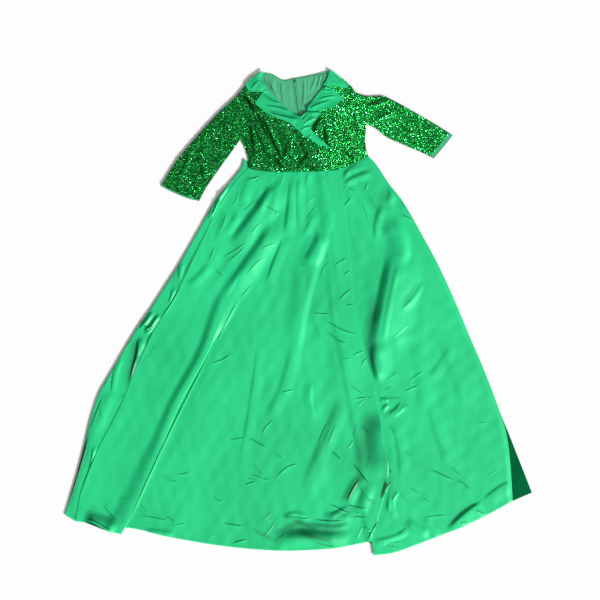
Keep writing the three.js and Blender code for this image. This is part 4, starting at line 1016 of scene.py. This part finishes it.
_crown = 1.7 * (1 - 0.55 * _s ** 4)[None] * (1 - 0.5 * (2 * _t[:, None] - 1) ** 6)
_groove = np.exp(-(_s[None] / 0.25) ** 2) * np.exp(-((_t[:, None] - 0.5) / 0.3) ** 2)
_crown = _crown - 0.5 * _groove
_slider_low = np.full(_plan.shape[:2], LAYER + 2.7)
zip_slider = cloth("zip_slider_body", metres(raised(_plan, _slider_low)),
                   metres(raised(_plan, _slider_low + _crown)), lacquer, lacquer)
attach(zip_slider, "root")
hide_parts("zip_slider")

# ---------------------------------------------------------------------------------------
# Front of the bodice: the wearer's left half lies under the right one, which wraps over it.
# Both are net covered with small round sequins, sewn on by their middles so that each one
# tips its own way.
# ---------------------------------------------------------------------------------------
SURPLICE = [
    [-118, 16], [-119, 30], [-115, 43], [-103, 65], [-74, 93], [-43, 118], [-19, 136], [3, 152],
    [22, 174], [40, 198], [84, 254], [125, 309.5],
]
SURPLICE_UNDER = [
    [102, 9], [95, 31], [84, 56], [59, 90], [36, 124], [16, 152], [19, 202], [43, 257],
    [75, 312.5],
]
BODICE_FOLDS = on_squares([
    ((246, 96), (259, 128), (272, 159), 15, 4, 1), ((251, 120), (264, 144), (277, 165), 13, 3, 1),
    ((245, 93), (252, 114), (266, 143), 10, -1.5, 1), ((330, 115), (340, 135), (350, 159), 20, 3, 1),
    ((245, 93), (251, 110), (259, 126), 6, -2, 1), ((259, 126), (267, 144), (280, 167), 6, -2, 1),
    ((300, 139), (308, 155), (312, 168), 12, 2, 1), ((279, 125), (288, 146), (295, 167), 16, 1.5, 1),
    ((346, 105), (354, 125), (359, 144), 14, 1.5, 1),
])
BODICE_CREASES = on_squares([
    ((255, 107), (264, 130), (271, 149), 3), ((270, 144), (275, 157), (282, 169), 3),
    ((261, 116), (271, 137), (284, 165), 2.6), ((239, 92), (249, 102), (257, 113), 2.4),
    ((247, 118), (252, 138), (254, 160), 1.6), ((262, 130), (272, 150), (276, 168), 2),
    ((310, 150), (303, 160), (296, 168), 1.4), ((322, 116), (316, 124), (312, 134), 2),
    ((331, 150), (326, 140), (324, 122), 2.2), ((352, 110), (356, 124), (358, 140), 1.2),
    ((344, 150), (350, 156), (356, 160), 1.6), ((290, 135), (286, 148), (284, 160), 1.2),
])
CROSSING_DOWN = 140
surplice_x, surplice_under_x = x_on(SURPLICE[3:]), x_on(SURPLICE_UNDER[5:])
side_right_x, side_left_x = x_on(SIDE_RIGHT[3:]), x_on(SIDE_LEFT[3:])


def bodice_loft(x, down):
    to_side = np.minimum(x - side_right_x(down), side_left_x(down) - x)
    return mix(1, smooth((to_side - 1) / 12), smooth((down - 190) / 25))


def bodice_lap(x, down):
    return lap_rise(x, surplice_under_x(down)) * smooth((down - CROSSING_DOWN + 12) / 12)


def bodice_height(x, down, folded=1):
    folds = fold_rise(BODICE_FOLDS, x, down) * smooth((300 - down) / 25) * folded
    return np.maximum(LAYER, LAYER + (LOFT + folds) * bodice_loft(x, down))


# sequins: round cups, each its own size and tilt, and a random tone painted on, from dark as if shaded up
# to a bright glint
FULL_TURN = 6.2832
scatter = growing_tree(
    "scattered sequins",
    [("Spacing", "NodeSocketFloat", 0.0022), ("Radius", "NodeSocketFloat", 0.0014),
     ("Tilt", "NodeSocketFloat", 0.35), ("Seed", "NodeSocketInt", 0)],
    dict(given="NodeGroupInput", spread="GeometryNodeDistributePointsOnFaces",
         cup="GeometryNodeMeshCone", depth="ShaderNodeMath", less="ShaderNodeMath",
         low="ShaderNodeCombineXYZ", high="ShaderNodeCombineXYZ", tip="FunctionNodeRandomValue",
         euler="FunctionNodeEulerToRotation", turn="FunctionNodeRotateRotation",
         size="FunctionNodeRandomValue", place="GeometryNodeInstanceOnPoints",
         tone="FunctionNodeRandomValue", lean="GeometryNodeInputNamedAttribute",
         swing="ShaderNodeVectorMath", hang="FunctionNodeEulerToRotation",
         lay="FunctionNodeRotateRotation", keep="GeometryNodeStoreNamedAttribute",
         whole="GeometryNodeRealizeInstances", finish="GeometryNodeSetMaterial",
         result="NodeGroupOutput"),
    [("spread", "distribute_method", "POISSON"), ("cup", "fill_type", "NONE"),
     ("depth", "operation", "MULTIPLY"), ("less", "operation", "MULTIPLY"),
     ("tip", "data_type", "FLOAT_VECTOR"), ("turn", "rotation_space", "LOCAL"),
     ("swing", "operation", "SCALE"), ("keep", "domain", "INSTANCE")],
    [("spread", "Density Max", 320000.0), ("cup", "Vertices", 7), ("cup", "Radius Top", 0.0),
     ("depth", 1, 0.18), ("less", 1, -1.0), ("low", "Z", 0.0), ("high", "Z", FULL_TURN),
     ("lean", "Name", "lean"), ("swing", 0, (0.6, 0.8, 0.0)), ("size", 2, 0.8), ("size", 3, 1.15),
     ("keep", "Name", "tone")],
    [("given", "Geometry", "spread", "Mesh"), ("given", "Spacing", "spread", "Distance Min"),
     ("given", "Seed", "spread", "Seed"), ("given", "Radius", "cup", "Radius Bottom"),
     ("given", "Radius", "depth", 0), ("depth", 0, "cup", "Depth"), ("given", "Tilt", "less", 0),
     ("less", 0, "low", "X"), ("less", 0, "low", "Y"), ("given", "Tilt", "high", "X"),
     ("given", "Tilt", "high", "Y"), ("low", 0, "tip", 0), ("high", 0, "tip", 1),
     ("tip", 0, "euler", "Euler"), ("spread", "Rotation", "turn", "Rotation"),
     ("euler", 0, "turn", "Rotate By"), ("spread", "Points", "place", "Points"),
     ("cup", "Mesh", "place", "Instance"), ("lean", 0, "swing", "Scale"),
     ("swing", 0, "hang", "Euler"), ("turn", 0, "lay", "Rotation"),
     ("hang", 0, "lay", "Rotate By"), ("lay", 0, "place", "Rotation"),
     ("size", 1, "place", "Scale"), ("place", "Instances", "keep", "Geometry"),
     ("tone", 1, "keep", "Value"), ("keep", "Geometry", "whole", "Geometry"),
     ("whole", "Geometry", "finish", "Geometry"), ("given", "Finish", "finish", "Material"),
     ("finish", "Geometry", "result", "Geometry")])

sequin, _shader, _node, _join = finish_nodes("green sequins")
_tone = _node("ShaderNodeAttribute", attribute_name="tone")
_ramp = _node("ShaderNodeValToRGB", {"Fac": _tone.outputs["Fac"]})
# painted light: the tones run from a shaded dark green to a bright pale-green glint at the top stop,
# standing in for how each tilted sequin catches or misses the light
for _at, _colour in [(0.0, (0.0005, 0.110, 0.006, 1)), (0.35, (0.001, 0.280, 0.028, 1)),
                     (0.75, (0.004, 0.480, 0.070, 1)), (0.93, (0.020, 0.700, 0.150, 1)),
                     (1.0, (0.200, 1.000, 0.320, 1))]:
    _stop = _ramp.color_ramp.elements.new(_at)
    _stop.color = _colour
while len(_ramp.color_ramp.elements) > 5:
    _spare = next(stop for stop in _ramp.color_ramp.elements
                  if tuple(stop.color)[:3] in ((0, 0, 0), (1, 1, 1)))
    _ramp.color_ramp.elements.remove(_spare)
_join(_ramp.outputs["Color"], "Base Color")
_shine = _node("ShaderNodeMapRange", {
    "Value": _tone.outputs["Fac"], "To Min": 0.30, "To Max": 0.12})
_join(_shine.outputs["Result"], "Roughness")
_shader.inputs["Metallic"].default_value = 0.85
_shader.inputs["Coat Weight"].default_value = 0.12
_shader.inputs["Coat Roughness"].default_value = 0.1


SEQUIN_SIZES = {"Spacing": 0.0022, "Radius": 0.0015, "Tilt": 0.30}
CLEARANCE = 0.0006
# how far the sequins hang over, from one cuff to the other: place in metres, and lean
LEAN = [(-0.42, 0.10), (-0.25, 0.06), (-0.05, 0.08), (0.06, 0.08), (0.10, 0.42), (0.20, 0.38),
        (0.48, 0.20)]


def sequins_on(name, top, seed):
    """sequins over a grid of places in metres, just clear of the cloth"""
    host = mesh_piece(name + "_ground", top + np.array([0, 0, CLEARANCE]),
                      faces_over(*top.shape[:2]), [sequin])
    off, depth = crease_marks(BODICE_CREASES, top[..., 0] * 1000, MIDDLE_DOWN - top[..., 1] * 1000)
    hang = np.interp(top[..., 0], *zip(*LEAN))
    hang += depth * (0.30 * np.exp(-((off - 9) / 5) ** 2) - 1.5 * np.exp(-(off / 4.5) ** 2))
    lean = host.data.attributes.new("lean", "FLOAT", "POINT")
    lean.data.foreach_set("value", hang.ravel().astype(np.float32))
    piece = grown(name, host, scatter, {**SEQUIN_SIZES, "Seed": seed, "Finish": sequin})
    return piece


NET_CLOTH = 1.2


def sequin_panel(name, plan, height, seed):
    lower, upper = sides_of(raised(plan, height + HALF_WALL), NET_CLOTH)
    panel = cloth(name + "_cloth", lower, upper, sequin_ground, sequin_ground)
    glitter = sequins_on(name + "_sequins", upper, seed)
    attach(panel, "root")
    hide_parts(name)
    return panel


_u, _v = grid(60, 90)
_plan = spanned([[102, 9], [133, 24], [164, 50]], line(WAIST_LEFT, (0, -SEAM)), SURPLICE_UNDER,
                SIDE_LEFT)(_u, _v)
_x, _down = _plan[..., 0], _plan[..., 1]
_shown = np.where(_down < CROSSING_DOWN, 1, smooth((_x - surplice_x(_down) - 4) / 15))
bodice_front_left = sequin_panel("bodice_front_left", _plan, bodice_height(_x, _down, _shown), 11)
_u, _v = grid(90, 96)
_plan = spanned([[-158, 43], [-136, 24], [-118, 16]], line(WAIST_RIGHT, (0, -SEAM)), SIDE_RIGHT,
                SURPLICE)(_u, _v)
_x, _down = _plan[..., 0], _plan[..., 1]
sequin_panel("bodice_front_right", _plan, bodice_height(_x, _down) + bodice_lap(_x, _down), 12)

# ---------------------------------------------------------------------------------------
# Sleeves: one piece of sequin net each, sewn into a tube along the underarm and pressed flat.
# The cuff is open, and the back layer reaches a little past the front one there, so a pale
# facing shows.
# ---------------------------------------------------------------------------------------
SLEEVE_FOLDS = on_squares([
    ((196, 151), (204, 168), (206, 181), 16, 3, 1), ((222, 120), (232, 131), (238, 139), 15, 3, 1),
    ((364, 109), (379, 104), (392, 101), 15, 4, 1), ((371, 122), (385, 117), (398, 108), 14, 3, 1),
    ((237, 130), (240, 134), (243, 139), 6, -2, 1), ((421, 120), (429, 135), (432, 151), 10, 2, 1),
    ((192, 144), (187, 164), (179, 180), 14, 2, 1), ((395, 105), (409, 122), (417, 138), 14, 2, 1),
])
SLEEVES = {
    "sleeve_right": dict(
        side=SIDE_RIGHT, underarm=214, away=-1, under_cuff=5, seed=21, area=0.076,
        cuff=[[-425, 360], [-403, 372], [-366, 389], [-335, 400], [-307, 406]],
        outer=[[-159, 43], [-195, 86], [-249, 137], [-318, 213], [-372, 277], [-425, 360]],
        under=[[-178, 214], [-202, 248], [-251, 316], [-285, 366], [-307, 406]]),
    "sleeve_left": dict(
        side=SIDE_LEFT, underarm=167, away=1, under_cuff=14, seed=22, area=0.058,
        cuff=[[480, 202], [464, 223], [442, 250], [421, 274]],
        outer=[[165, 50], [180, 71], [220, 83], [264, 82], [292, 94], [364, 133.5], [435, 174.5],
               [480, 202]],
        under=[[212, 167], [239, 180], [275, 208], [328, 232], [387, 257], [421, 274]]),
}


def sleeve(name, side, underarm, away, under_cuff, seed, area, cuff, outer, under):
    """a flattened tube between the armhole and the cuff, its front layer lifted and folded"""
    share = float(np.interp(underarm, line(side)(FINE)[:, 1], FINE))
    armhole = line(side, (away, 0), (0, share))
    if away > 0:
        plan = spanned(lambda t: armhole(1 - np.asarray(t)), lambda t: line(cuff)(1 - np.asarray(t)),
                       under, outer)
    else:
        plan = spanned(armhole, cuff, outer, under)
    rows, across, wall = 84, 46, 1.3
    v = np.linspace(0, 1, rows + 1)
    width = np.linalg.norm(plan(1.0, v) - plan(0.0, v), axis=-1)

    def short(u):
        p, q = plan(u, v), plan(u, 0 * v)
        length = np.linalg.norm(p - q, axis=-1)
        back = under_cuff * smooth((v - 0.8) / 0.2) / np.maximum(length, 1)
        return mix(p, q, back[:, None])

    def top(u):
        p = plan(u, v)
        inside = smooth(np.minimum(u, 1 - u) / 0.12) * smooth(v / 0.12)
        folds = np.maximum(0, fold_rise(SLEEVE_FOLDS, p[:, 0], p[:, 1]))
        return FRONT + 1.5 + (folds + 0.3 + 0.3 * unevenness(p[:, 0], p[:, 1], 40, seed)) * inside

    def ring(edge, thick):
        e, soften = edge / width, 1.2 / width
        us = [mix(e + soften, 1 - e - soften, k / across) for k in range(across + 1)]
        back = [raised(plan(u, v)[:, None], thick)[:, 0] for u in us]
        front = [raised(short(u)[:, None], (top(u) - thick)[:, None])[:, 0] for u in us[::-1]]
        corner = [raised(plan(1 - e, v)[:, None], thick + 0.8)[:, 0],
                  raised(short(1 - e)[:, None], (top(1 + 0 * v) - thick - 0.8)[:, None])[:, 0]]
        last = [raised(short(e)[:, None], (top(0 * v) - thick - 0.8)[:, None])[:, 0],
                raised(plan(e, v)[:, None], thick + 0.8)[:, 0]]
        return metres(np.stack([*back, *corner, *front, *last], 1)), metres(np.stack(front[::-1], 1))

    (out, shown), (inn, _) = ring(0, 0), ring(wall, wall)
    rings, around = out.shape[:2]
    at = np.arange(rings * around).reshape(rings, around)
    ahead = np.roll(at, -1, axis=1)
    a, b, c, d = at[:-1].ravel(), ahead[:-1].ravel(), ahead[1:].ravel(), at[1:].ravel()
    count = rings * around
    ends = [np.stack([ahead[0], at[0], at[0] + count, ahead[0] + count], -1),
            np.stack([at[-1], ahead[-1], ahead[-1] + count, at[-1] + count], -1)]
    faces = np.concatenate([np.stack([a, b, c, d], -1), np.stack([a, d, c, b], -1) + count, *ends])
    finish_of = np.repeat([0, 1, 0], [len(a), len(a), 2 * around])
    tube = mesh_piece(name + "_cloth", np.concatenate([out.reshape(-1, 3), inn.reshape(-1, 3)]), faces,
                      [sequin_ground, lining], finish_of)
    glitter = sequins_on(name + "_sequins", shown, seed)
    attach(tube, "root")
    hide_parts(name)


for _name, _cut in SLEEVES.items():
    sleeve(_name, **_cut)

# ---------------------------------------------------------------------------------------
# Collar and lapels: faced satin, turned right side out and pressed, so each edge is a thin
# rounded roll. The left lapel crosses over, and the tip of the right one shows below it.
# ---------------------------------------------------------------------------------------
TRIM_REST = LAYER + 0.2
LIP_DOWN = 122
# collar and lapels, a row for each section: its end on the wearer's right, and its other end
COLLAR_RIGHT = [
    ([-113, 5], [-107, 5]), ([-144, 25], [-114, 23]), ([-162, 45], [-112, 37]),
    ([-158, 57], [-98, 59]), ([-151, 68], [-108, 69]),
]
COLLAR_LEFT = [
    ([97, 1], [105, 2]), ([93, 22], [127, 19]), ([85, 37], [144, 36]), ([79, 46], [156, 50]),
    ([81, 50], [152, 57]),
]
LAPEL_RIGHT = [
    ([-114, 75], [-97, 61]), ([-134, 104], [-90, 71]), ([-97, 135], [-68, 91]),
    ([-71, 146], [-40, 115]), ([-45, 155], [-16, 133]), ([-19, 170], [8, 147]),
    ([-6, 183], [25, 132]), ([5, 192], [73, 134]), ([12, 200], [62, 147]), ([20, 208], [39, 178]),
    ([24, 212], [40, 185]),
]
LAPEL_LEFT = [
    ([82, 53], [108, 59]), ([65, 71], [140, 90]), ([46, 96], [105, 119]), ([29, 120], [79, 123]),
    ([30, 126], [74, 128]), ([16, 158], [50, 152]), ([22, 186], [34, 175]), ([29, 208], [42, 188]),
    ([57, 229], [72, 218]), ([88, 239], [93, 236]), ([104, 245], [106, 244]),
]
FACED = 1.3
TRIM_FOLDS = on_squares([
    ((302, 121), (286, 118), (268, 112), 16, 3, 0.7), ((284, 103), (272, 101), (261, 92), 12, 2, 0.6),
    ((292, 113), (280, 109), (264, 106), 11, 1.8, 0.6), ((283, 113), (268, 112), (258, 106), 10, 1.5, 0.6),
    ((322, 110), (313, 113), (306, 109), 12, 2.5, 0.6), ((336, 98), (326, 98), (316, 102), 12, 2, 0.6),
    ((330, 101), (318, 105), (309, 110), 10, 2, 0.6), ((345, 88), (338, 84), (331, 82), 12, 1.5, 0.7),
    ((258, 80), (254, 86), (250, 92), 12, 1.5, 0.7), ((266, 84), (260, 82), (256, 78), 8, 1.2, 0.7),
    ((318, 117), (308, 120), (301, 126), 12, 2.2, 0.6), ((312, 128), (306, 127), (300, 131), 10, 2, 0.6),
    ((322, 146), (314, 140), (308, 136), 8, 1.5, 0.6), ((338, 90), (330, 94), (322, 95), 9, 1.5, 0.6),
    ((328, 78), (326, 86), (322, 94), 8, 1.5, 0.6),
])
TRIM_CREASES = on_squares([
    ((283, 104), (270, 100), (261, 91), 2.2), ((291, 112), (278, 108), (263, 106), 2.2),
    ((300, 120), (284, 117), (267, 112), 3), ((322, 110), (313, 113), (307, 110), 3.2),
    ((338, 97), (328, 97), (317, 101), 2.4), ((334, 100), (320, 104), (310, 109), 2),
    ((336, 89), (329, 91), (322, 90), 2), ((344, 85), (338, 80), (333, 75), 1.6),
    ((262, 79), (256, 84), (251, 90), 1.8), ((267, 86), (262, 82), (258, 77), 1.8),
    ((318, 118), (309, 121), (302, 127), 2.4), ((309, 114), (305, 118), (301, 122), 2),
    ((313, 128), (306, 128), (300, 132), 2.2), ((312, 133), (310, 136), (307, 139), 2.8),
    ((326, 145), (319, 140), (311, 134), 1.4), ((276, 96), (270, 93), (266, 90), 1.6),
    ((288, 106), (282, 102), (277, 98), 1.8),
])
# painted shade on the collar and lapels, in their folds and under the crossing
TRIM_PAINTED_SHADE = on_squares([
    ((302, 119), (284, 115), (264, 110), 18, 0.4, 1), ((250, 80), (256, 84), (263, 90), 30, 0.45, 1),
    ((262, 96), (276, 104), (290, 112), 16, 0.35, 1), ((312, 121), (306, 117), (301, 122), 12, 0.4, 1),
])


def sections(table, across=28, between=12):
    """rows of places and their shares across, from a table of sections"""
    t = np.linspace(0, len(table) - 1, (len(table) - 1) * between + 1)
    ends = [np.stack([np.interp(t, range(len(table)), [row[side][k] for row in table])
                      for k in (0, 1)], -1) for side in (0, 1)]
    u = np.broadcast_to(np.linspace(0, 1, across + 1), (len(t), across + 1))
    return mix(ends[0][:, None], ends[1][:, None], u[..., None]), u


def trim_height(x, down):
    past = smooth((x - surplice_x(down) - 4) / 30) * smooth((down - 200) / 15)
    return bodice_height(x, down) + bodice_lap(x, down) * (1 - past) + TRIM_REST


def edge_roll(plan):
    """the thin roll round a faced piece's edge"""
    x, down = plan[..., 0], plan[..., 1]
    rim = np.concatenate([plan[:, 0], plan[-1], plan[::-1, -1], plan[0, ::-1]])
    near = np.min(np.hypot(x[..., None] - rim[::2, 0], down[..., None] - rim[::2, 1]), -1)
    return 0.55 * np.exp(-((near - 1.6) / 1.3) ** 2) - 0.25 * np.exp(-((near - 5) / 1.8) ** 2)


def trim_piece(name, plan, height):
    x, down = plan[..., 0], plan[..., 1]
    lower = metres(raised(plan, height))
    height = height + edge_roll(plan) + FACED + fold_rise(TRIM_FOLDS, x, down) * 0.6
    piece = cloth(name + "_cloth", lower, metres(raised(plan, height)), satin, satin)
    keep_marks(piece, TRIM_CREASES, TRIM_PAINTED_SHADE, x, down, sides=2)
    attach(piece, "root")
    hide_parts(name)


for _name, _table, _inner_right in [("collar_right", COLLAR_RIGHT, True),
                                    ("collar_left", COLLAR_LEFT, False)]:
    _plan, _u = sections(_table)
    _inner = _u if _inner_right else 1 - _u
    _height = trim_height(_plan[..., 0], _plan[..., 1]) + 2 * np.sin(math.pi * _inner)
    trim_piece(_name, _plan, _height - 0.2 * smooth((_inner - 0.8) / 0.2))

_plan, _u = sections(LAPEL_RIGHT)
_x, _down = _plan[..., 0], _plan[..., 1]
_crossing = smooth((_x + _down - 118) / 30)
_open = (1 - _crossing) * (1.5 * np.sin(math.pi * _u) - 0.9 * smooth((_u - 0.8) / 0.2))
trim_piece("lapel_right", _plan, trim_height(_x, _down) + _crossing * (TRIM_REST + 0.5) + _open)
_plan, _u = sections(LAPEL_LEFT)
_x, _down = _plan[..., 0], _plan[..., 1]
_upper_part = _down <= LIP_DOWN + 2
_lip = np.where(_upper_part, smooth((_down - 92) / 30), 0)
_turn = np.where(_upper_part, 0.9 * smooth((0.2 - _u) / 0.2) * (1 - _lip), 0)
trim_piece("lapel_left", _plan, trim_height(_x, _down) + _lip * (TRIM_REST + 2) - _turn)

# ---------------------------------------------------------------------------------------
# Stitching: machine stitches in green thread along the wrap panel's hem, with a gap in the row,
# and up its free edge, just in from both.
# ---------------------------------------------------------------------------------------
STITCH, STITCH_PITCH, STITCH_RISE = (2.6, 0.5, 0.45), 3.6, 0.15
thread = woven_finish("green thread", dark=(0.020, 0.380, 0.150), pale=(0.030, 0.450, 0.180),
                      roughness=0.5, crumple=0.0001, sharpness=0.3, thread=0.00003, scale=200.0,
                      sheen=0.2)
_top = _wrap.copy()
_top[..., 2] += STITCH_RISE
_hem_row, _edge_row = _top[-3], _top[:, -3]
hem_stitches = row_along("wrap_hem_stitches", [_hem_row[4:34], _hem_row[64:-3], _edge_row[4:-3]],
                         STITCH_PITCH, STITCH, thread)

# ---------------------------------------------------------------------------------------
# Surroundings: a plain pale floor for the gown to lie on, soft studio light from one side, and a
# camera straight above.
# ---------------------------------------------------------------------------------------
paper, _shader, _node, _join = finish_nodes("pale floor")
_shader.inputs["Base Color"].default_value = (0.98, 0.98, 0.98, 1)
_shader.inputs["Roughness"].default_value = 0.9
_shader.inputs["Specular IOR Level"].default_value = 0.0
FLOOR_HALF, FLOOR_TOP = 4, -0.0006
floor_mesh = bpy.data.meshes.new("floor")
floor_mesh.from_pydata([(x * FLOOR_HALF, y * FLOOR_HALF, FLOOR_TOP)
                        for x, y in ((-1, -1), (1, -1), (1, 1), (-1, 1))], [], [(0, 1, 2, 3)])
floor_mesh.materials.append(paper)
floor = bpy.data.objects.new("floor", floor_mesh)
bpy.context.scene.collection.objects.link(floor)

# a big soft source overhead, towards the wearer's left and the hem, and a dim room round it
SOURCE = (0.42, -0.36, 0.83)
world = bpy.data.worlds.new("studio")
world.use_nodes = True
_sky = world.node_tree
_way = add_node(_sky, "ShaderNodeTexCoord")
_toward = add_node(_sky, "ShaderNodeVectorMath", {0: _way.outputs["Generated"], 1: SOURCE},
                   operation="DOT_PRODUCT")
_glow = add_node(_sky, "ShaderNodeMapRange", {
    "Value": _toward.outputs["Value"], "From Min": 0.25, "From Max": 1.0, "To Min": 0.04,
    "To Max": 0.80}, interpolation_type="SMOOTHSTEP")
_sky.links.new(_glow.outputs["Result"], _sky.nodes["Background"].inputs["Strength"])
_sky.nodes["Background"].inputs["Color"].default_value = (1.0, 1.0, 1.0, 1)
bpy.context.scene.world = world

_lamp = bpy.data.lights.new("key softbox", "SUN")
_lamp.angle = math.radians(12)
_lamp.energy = 3.7
_light = bpy.data.objects.new("key softbox", _lamp)
bpy.context.scene.collection.objects.link(_light)
_aim = -np.array((0.66, -0.54, 0.50))
_light.rotation_euler = (math.acos(-_aim[2] / np.linalg.norm(_aim)), 0,
                         math.atan2(_aim[1], _aim[0]) - math.pi / 2)

bpy.context.scene.view_settings.view_transform = "Standard"
_lens = bpy.data.cameras.new("camera")
_lens.lens = 85
_lens.sensor_width = 36
camera = bpy.data.objects.new("camera", _lens)
camera.location = (0.0062, 0.039, 4.392)
bpy.context.scene.collection.objects.link(camera)
bpy.context.scene.camera = camera
